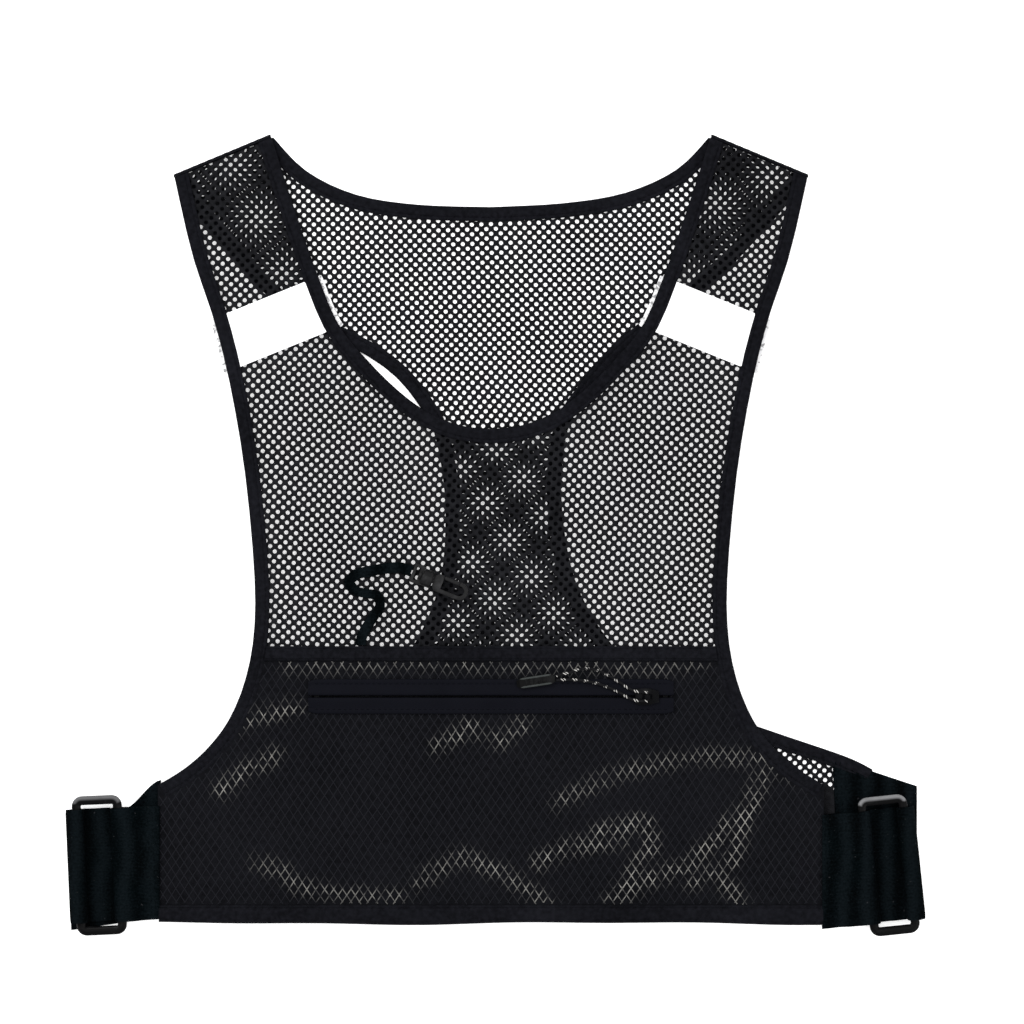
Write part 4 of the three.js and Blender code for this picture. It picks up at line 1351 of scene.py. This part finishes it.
def side_tab(side):
    """Webbing sewn into the front side seam and looped round the ring's inner bar."""
    at = SideFrame(side)
    low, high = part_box(f"side_tab_{side}")
    seam = abs(low.x if at.sign > 0 else high.x)
    inner = abs((seam - abs(at.centre.x)) / MM)
    mid = LOOP_HALF - WEB / 2
    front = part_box("pocket_panel")[1].z
    top = (front - at.centre.z) / MM - WEB / 2
    bottom = (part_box("front_mesh")[0].z - at.centre.z) / MM + WEB / 2
    slot_side = -BAR_PLACE + BAR_REACH
    path = [
        (-inner - 5, bottom),
        (-inner + 5, bottom),
        (-BAR_PLACE - 7, -mid),
        (slot_side - 2.2, -mid),
        *arc((slot_side - 2.2, -mid + 2.2), 2.2, -90, 0, 6),
        *arc((slot_side - 2.2, mid - 2.2), 2.2, 0, 90, 6),
        (-BAR_PLACE - 7, mid),
        (-inner + 5, top),
        (-inner - 5, top),
    ]
    shape = Shape()
    webbing(shape, at, dense(path), clamp=seam - SEAM)
    for inset in (1.6, 4.2):
        row = np.array([at(-inner + inset + 0.6, y, 0)[:2] for y in np.linspace(-29, 29, 20)])
        stitch_row(shape, row, at.centre.z + (top + WEB / 2) * MM + 0.00002)
    made = shape.build(f"side_loop_{side}", 50)
    place(made, looks()["elastic"], "vest", "elastic_webbing", f"side_tab_{side}")


FLARE = 0.013  # rise of the left strap's upper edge where it joins the rear layer
LAP, LAP_RISE = 0.022, 0.0075  # strap sewn down on the rear cloth, and its climb inwards


def strap_ends(side):
    """The strap's inner and outer end, each from its lower to its upper corner."""
    outline = flat_loops(f"side_strap_{side}")[0]
    order = np.argsort(outline[:, 0] * (-1 if side == "left" else 1))
    ends = [outline[order[:2]], outline[order[-2:]]]
    return [end[np.argsort(end[:, 1])] for end in ends]


def wing_lap(side):
    """The strap's inner end, sewn flat on the rear layer's cloth."""
    sign = -1 if side == "left" else 1
    end = strap_ends(side)[0]
    along = (end[1] - end[0]) / np.linalg.norm(end[1] - end[0])
    low, high = end[0] + along * 0.0105, end[1] - along * 0.0005
    out = np.array([along[1], -along[0]]) * sign
    outer = low + out * SEAM, high + out * SEAM
    inner = low - out * LAP, high + along * LAP_RISE - out * LAP
    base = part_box("back_mesh")[1].z
    rings = []
    for share in np.linspace(0, 1, 16):
        a, b = (start + (stop - start) * share for start, stop in (outer, inner))
        crown = base + 0.0009 - 0.0004 * (share in (0, 1))
        under = base - 0.0001
        middle = (a + b) / 2
        ring = [(*a, under), (*a, crown), (*middle, crown), (*b, crown), (*b, under)]
        rings.append(np.array(ring))
    shape = Shape().rings(rings)
    for inset in (0.0016, 0.0042):
        row = np.array(inner) + out * inset
        stitch_row(shape, row, base + 0.00092)
    made = shape.build(f"strap_lap_{side}", 50)
    return place(made, looks()["elastic"], "vest", "elastic_webbing")


def side_strap(side):
    """The strap from the rear layer, running out under the ring to its outer end."""
    inner, outer = strap_ends(side)
    inner[:, 0] -= SEAM * (-1 if side == "left" else 1)
    flare = FLARE if side == "left" else 0.0
    rings = []
    for share in np.arange(25) / 24:
        a, b = inner + (outer - inner) * share
        b = b + np.array([0, flare * soft_step(1 - share / 0.42)])
        ring = []
        for face in (1, -1):
            for across in (np.arange(31) / 30)[::face]:
                rim = 0.0003 if across in (0, 1) else 0.0
                z = 0.0002 + (STRAP_THICKNESS - rim if face == 1 else rim)
                ring.append((*(a + (b - a) * across), z))
        rings.append(np.array(ring))
    made = Shape().rings(rings).build(f"side_elastic_{side}", 50)
    made.data.materials.append(looks()["elastic"])
    at = SideFrame(side)
    start = at(-BAR_PLACE + 2, 0, 0)
    end = at(BAR_PLACE + 5, 0, 0)
    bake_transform(made)
    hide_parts(f"side_strap_{side}")


class VEST_OT_sides(bpy.types.Operator):
    """Rings, loops and stretch straps of both sides"""

    bl_idname = "vest.sides"
    bl_label = "Side Straps"

    def execute(self, context):
        for side in ("left", "right"):
            ring_piece(side)
            strap_end(side)
            side_tab(side)
            side_strap(side)
            wing_lap(side)
        return {"FINISHED"}


# ---- Key leash
# The leash's route across and along the vest, in millimetres
LEASH_ROUTE = [
    (-71.4, 0.7), (-71.2, 3.6), (-69, 9), (-64.4, 16), (-60.8, 22.4), (-62.4, 27.4), (-68.4, 28.9),
    (-74.2, 30.4), (-77.6, 34.8), (-74.4, 39), (-67, 40.9), (-58.6, 42.4), (-50.2, 43.1),
    (-46.6, 42.15), (-43.6, 40.95),
]
LEASH_WIDTH, LEASH_THICKNESS = 6.4, 1.4
SLIDER_LEFT = 79.0  # mm from the vest's centre line to the left end of the closed slider
# The leash's ribbed cross-section, in shares of its width and thickness
LEASH_SECTION = [
    (-0.5, -0.2), (-0.47, 0.35), (-0.32, 0.5), (-0.16, 0.42), (0.0, 0.5), (0.16, 0.42),
    (0.32, 0.5), (0.47, 0.35), (0.5, -0.2), (0.4, -0.5), (0.0, -0.42), (-0.4, -0.5),
]


def leash():
    """The leash's webbing and the line that it follows."""
    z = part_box("leash_strap")[0].z + LEASH_THICKNESS / 2 * MM
    pocket_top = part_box("pocket_top_band")[1].y
    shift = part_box("zip_slider")[0].x - SLIDER_LEFT * MM
    route = [(x * MM + shift, pocket_top + y * MM, z) for x, y in LEASH_ROUTE]
    line = through(route, 150)
    flat, up = sides_of(line)
    rings = []
    for i in range(len(line)):
        along = i / (len(line) - 1)
        slim = LEASH_WIDTH * (0.92 - 0.12 * math.sin(math.pi * along) * (along < 0.5))
        pick = 0.03 * math.sin(i * 1.7)
        ring = [
            line[i] + flat[i] * across * slim * MM + up[i] * (rise * LEASH_THICKNESS + pick) * MM
            for across, rise in LEASH_SECTION
        ]
        rings.append(np.array(ring))
    made = Shape().rings(rings).build("leash_webbing", 60)
    place(made, looks()["elastic"], "vest", "elastic_webbing", "leash_strap")
    return made, line


class VEST_OT_leash(bpy.types.Operator):
    """The key leash, its swivel, hook and gate"""

    bl_idname = "vest.leash"
    bl_label = "Key Leash"

    def execute(self, context):
        made, line = leash()
        swivel = rounded_copy("hook_base", "leash_swivel", 0.00035, "hook", "vest", "black_plastic")
        hook = rounded_copy("hook_body", "leash_hook", 0.0006, "hook", "hook", "black_plastic")
        gate = rounded_copy("hook_gate", "leash_gate", 0.0005, "hook", "hook_gate", "black_plastic")
        return {"FINISHED"}


# ---- Stage
VIEW_MIDDLE = (0.009, 0.0125)  # what the camera looks straight down at
VIEW_WIDTH = 0.5632
FLOOR_HALF, FLOOR_DROP = 4.0, -0.0002


class VEST_OT_stage(bpy.types.Operator):
    """Pale floor, soft light and a camera straight above"""

    bl_idname = "vest.stage"
    bl_label = "Stage"

    def execute(self, context):
        scene = context.scene
        camera = bpy.data.objects.new("view", bpy.data.cameras.new("view"))
        camera.data.lens = 100
        camera.data.sensor_width = 36
        camera.location = (*VIEW_MIDDLE, VIEW_WIDTH * camera.data.lens / camera.data.sensor_width)
        scene.collection.objects.link(camera)
        scene.camera = camera
        corners = [(-1, -1), (1, -1), (1, 1), (-1, 1)]
        mesh = bpy.data.meshes.new("floor")
        points = [(x * FLOOR_HALF, y * FLOOR_HALF, FLOOR_DROP) for x, y in corners]
        mesh.from_pydata(points, [], [(0, 1, 2, 3)])
        floor = bpy.data.objects.new("floor", mesh)
        scene.collection.objects.link(floor)
        pale = Finish("pale_floor")
        glow = {"Emission_Color": (1, 1, 1), "Emission_Strength": 0.45}
        mesh.materials.append(pale.set(Base_Color=(0.9, 0.9, 0.9), Roughness=0.9, **glow))
        self.lights(scene)
        scene.view_settings.view_transform = "Standard"
        return {"FINISHED"}

    def lights(self, scene):
        world = bpy.data.worlds.new("studio")
        world.use_nodes = True
        sky = world.node_tree.nodes["Background"].inputs
        sky["Color"].default_value = (1, 1, 1, 1)
        sky["Strength"].default_value = 0.85
        scene.world = world
        spots = [
            ("key", (-0.9, 0.9, 1.1), 1.0, 22),
            ("fill", (1.1, -0.5, 1.0), 1.2, 9),
            ("top", (0.0, 0.2, 1.9), 1.6, 10),
        ]
        for name, where, size, power in spots:
            light = bpy.data.lights.new(name, "AREA")
            light.size = size
            light.energy = power
            lamp = bpy.data.objects.new(name, light)
            lamp.location = where
            lamp.rotation_euler = (-Vector(where)).to_track_quat("-Z", "Y").to_euler()
            scene.collection.objects.link(lamp)


# ---- Panel and registration
OPERATORS = [
    VEST_OT_stage,
    VEST_OT_leash,
    VEST_OT_cloth,
    VEST_OT_bindings,
    VEST_OT_hems,
    VEST_OT_shoulders,
    VEST_OT_pocket,
    VEST_OT_zip,
    VEST_OT_pull,
    VEST_OT_reflectors,
    VEST_OT_sides,
]


class VEST_PT_panel(bpy.types.Panel):
    """Builds the vest piece by piece"""

    bl_idname = "VEST_PT_panel"
    bl_label = "Mesh Running Vest"
    bl_space_type = "VIEW_3D"
    bl_region_type = "UI"
    bl_category = "Vest"

    def draw(self, context):
        for group in (context.scene.vest_cloth, context.scene.vest_trim):
            box = self.layout.box()
            for name in group.__annotations__:
                box.prop(group, name)
        for operator in OPERATORS:
            self.layout.operator(operator.bl_idname)


CLASSES = [VestCloth, VestTrim, *OPERATORS, VEST_PT_panel]


def register():
    for item in CLASSES:
        bpy.utils.register_class(item)
    bpy.types.Scene.vest_cloth = bpy.props.PointerProperty(type=VestCloth)
    bpy.types.Scene.vest_trim = bpy.props.PointerProperty(type=VestTrim)


def unregister():
    del bpy.types.Scene.vest_trim
    del bpy.types.Scene.vest_cloth
    for item in reversed(CLASSES):
        bpy.utils.unregister_class(item)


def main():
    register()
    for operator in OPERATORS:
        group, name = operator.bl_idname.split(".")
        getattr(getattr(bpy.ops, group), name)()


if __name__ == "__main__":
    main()
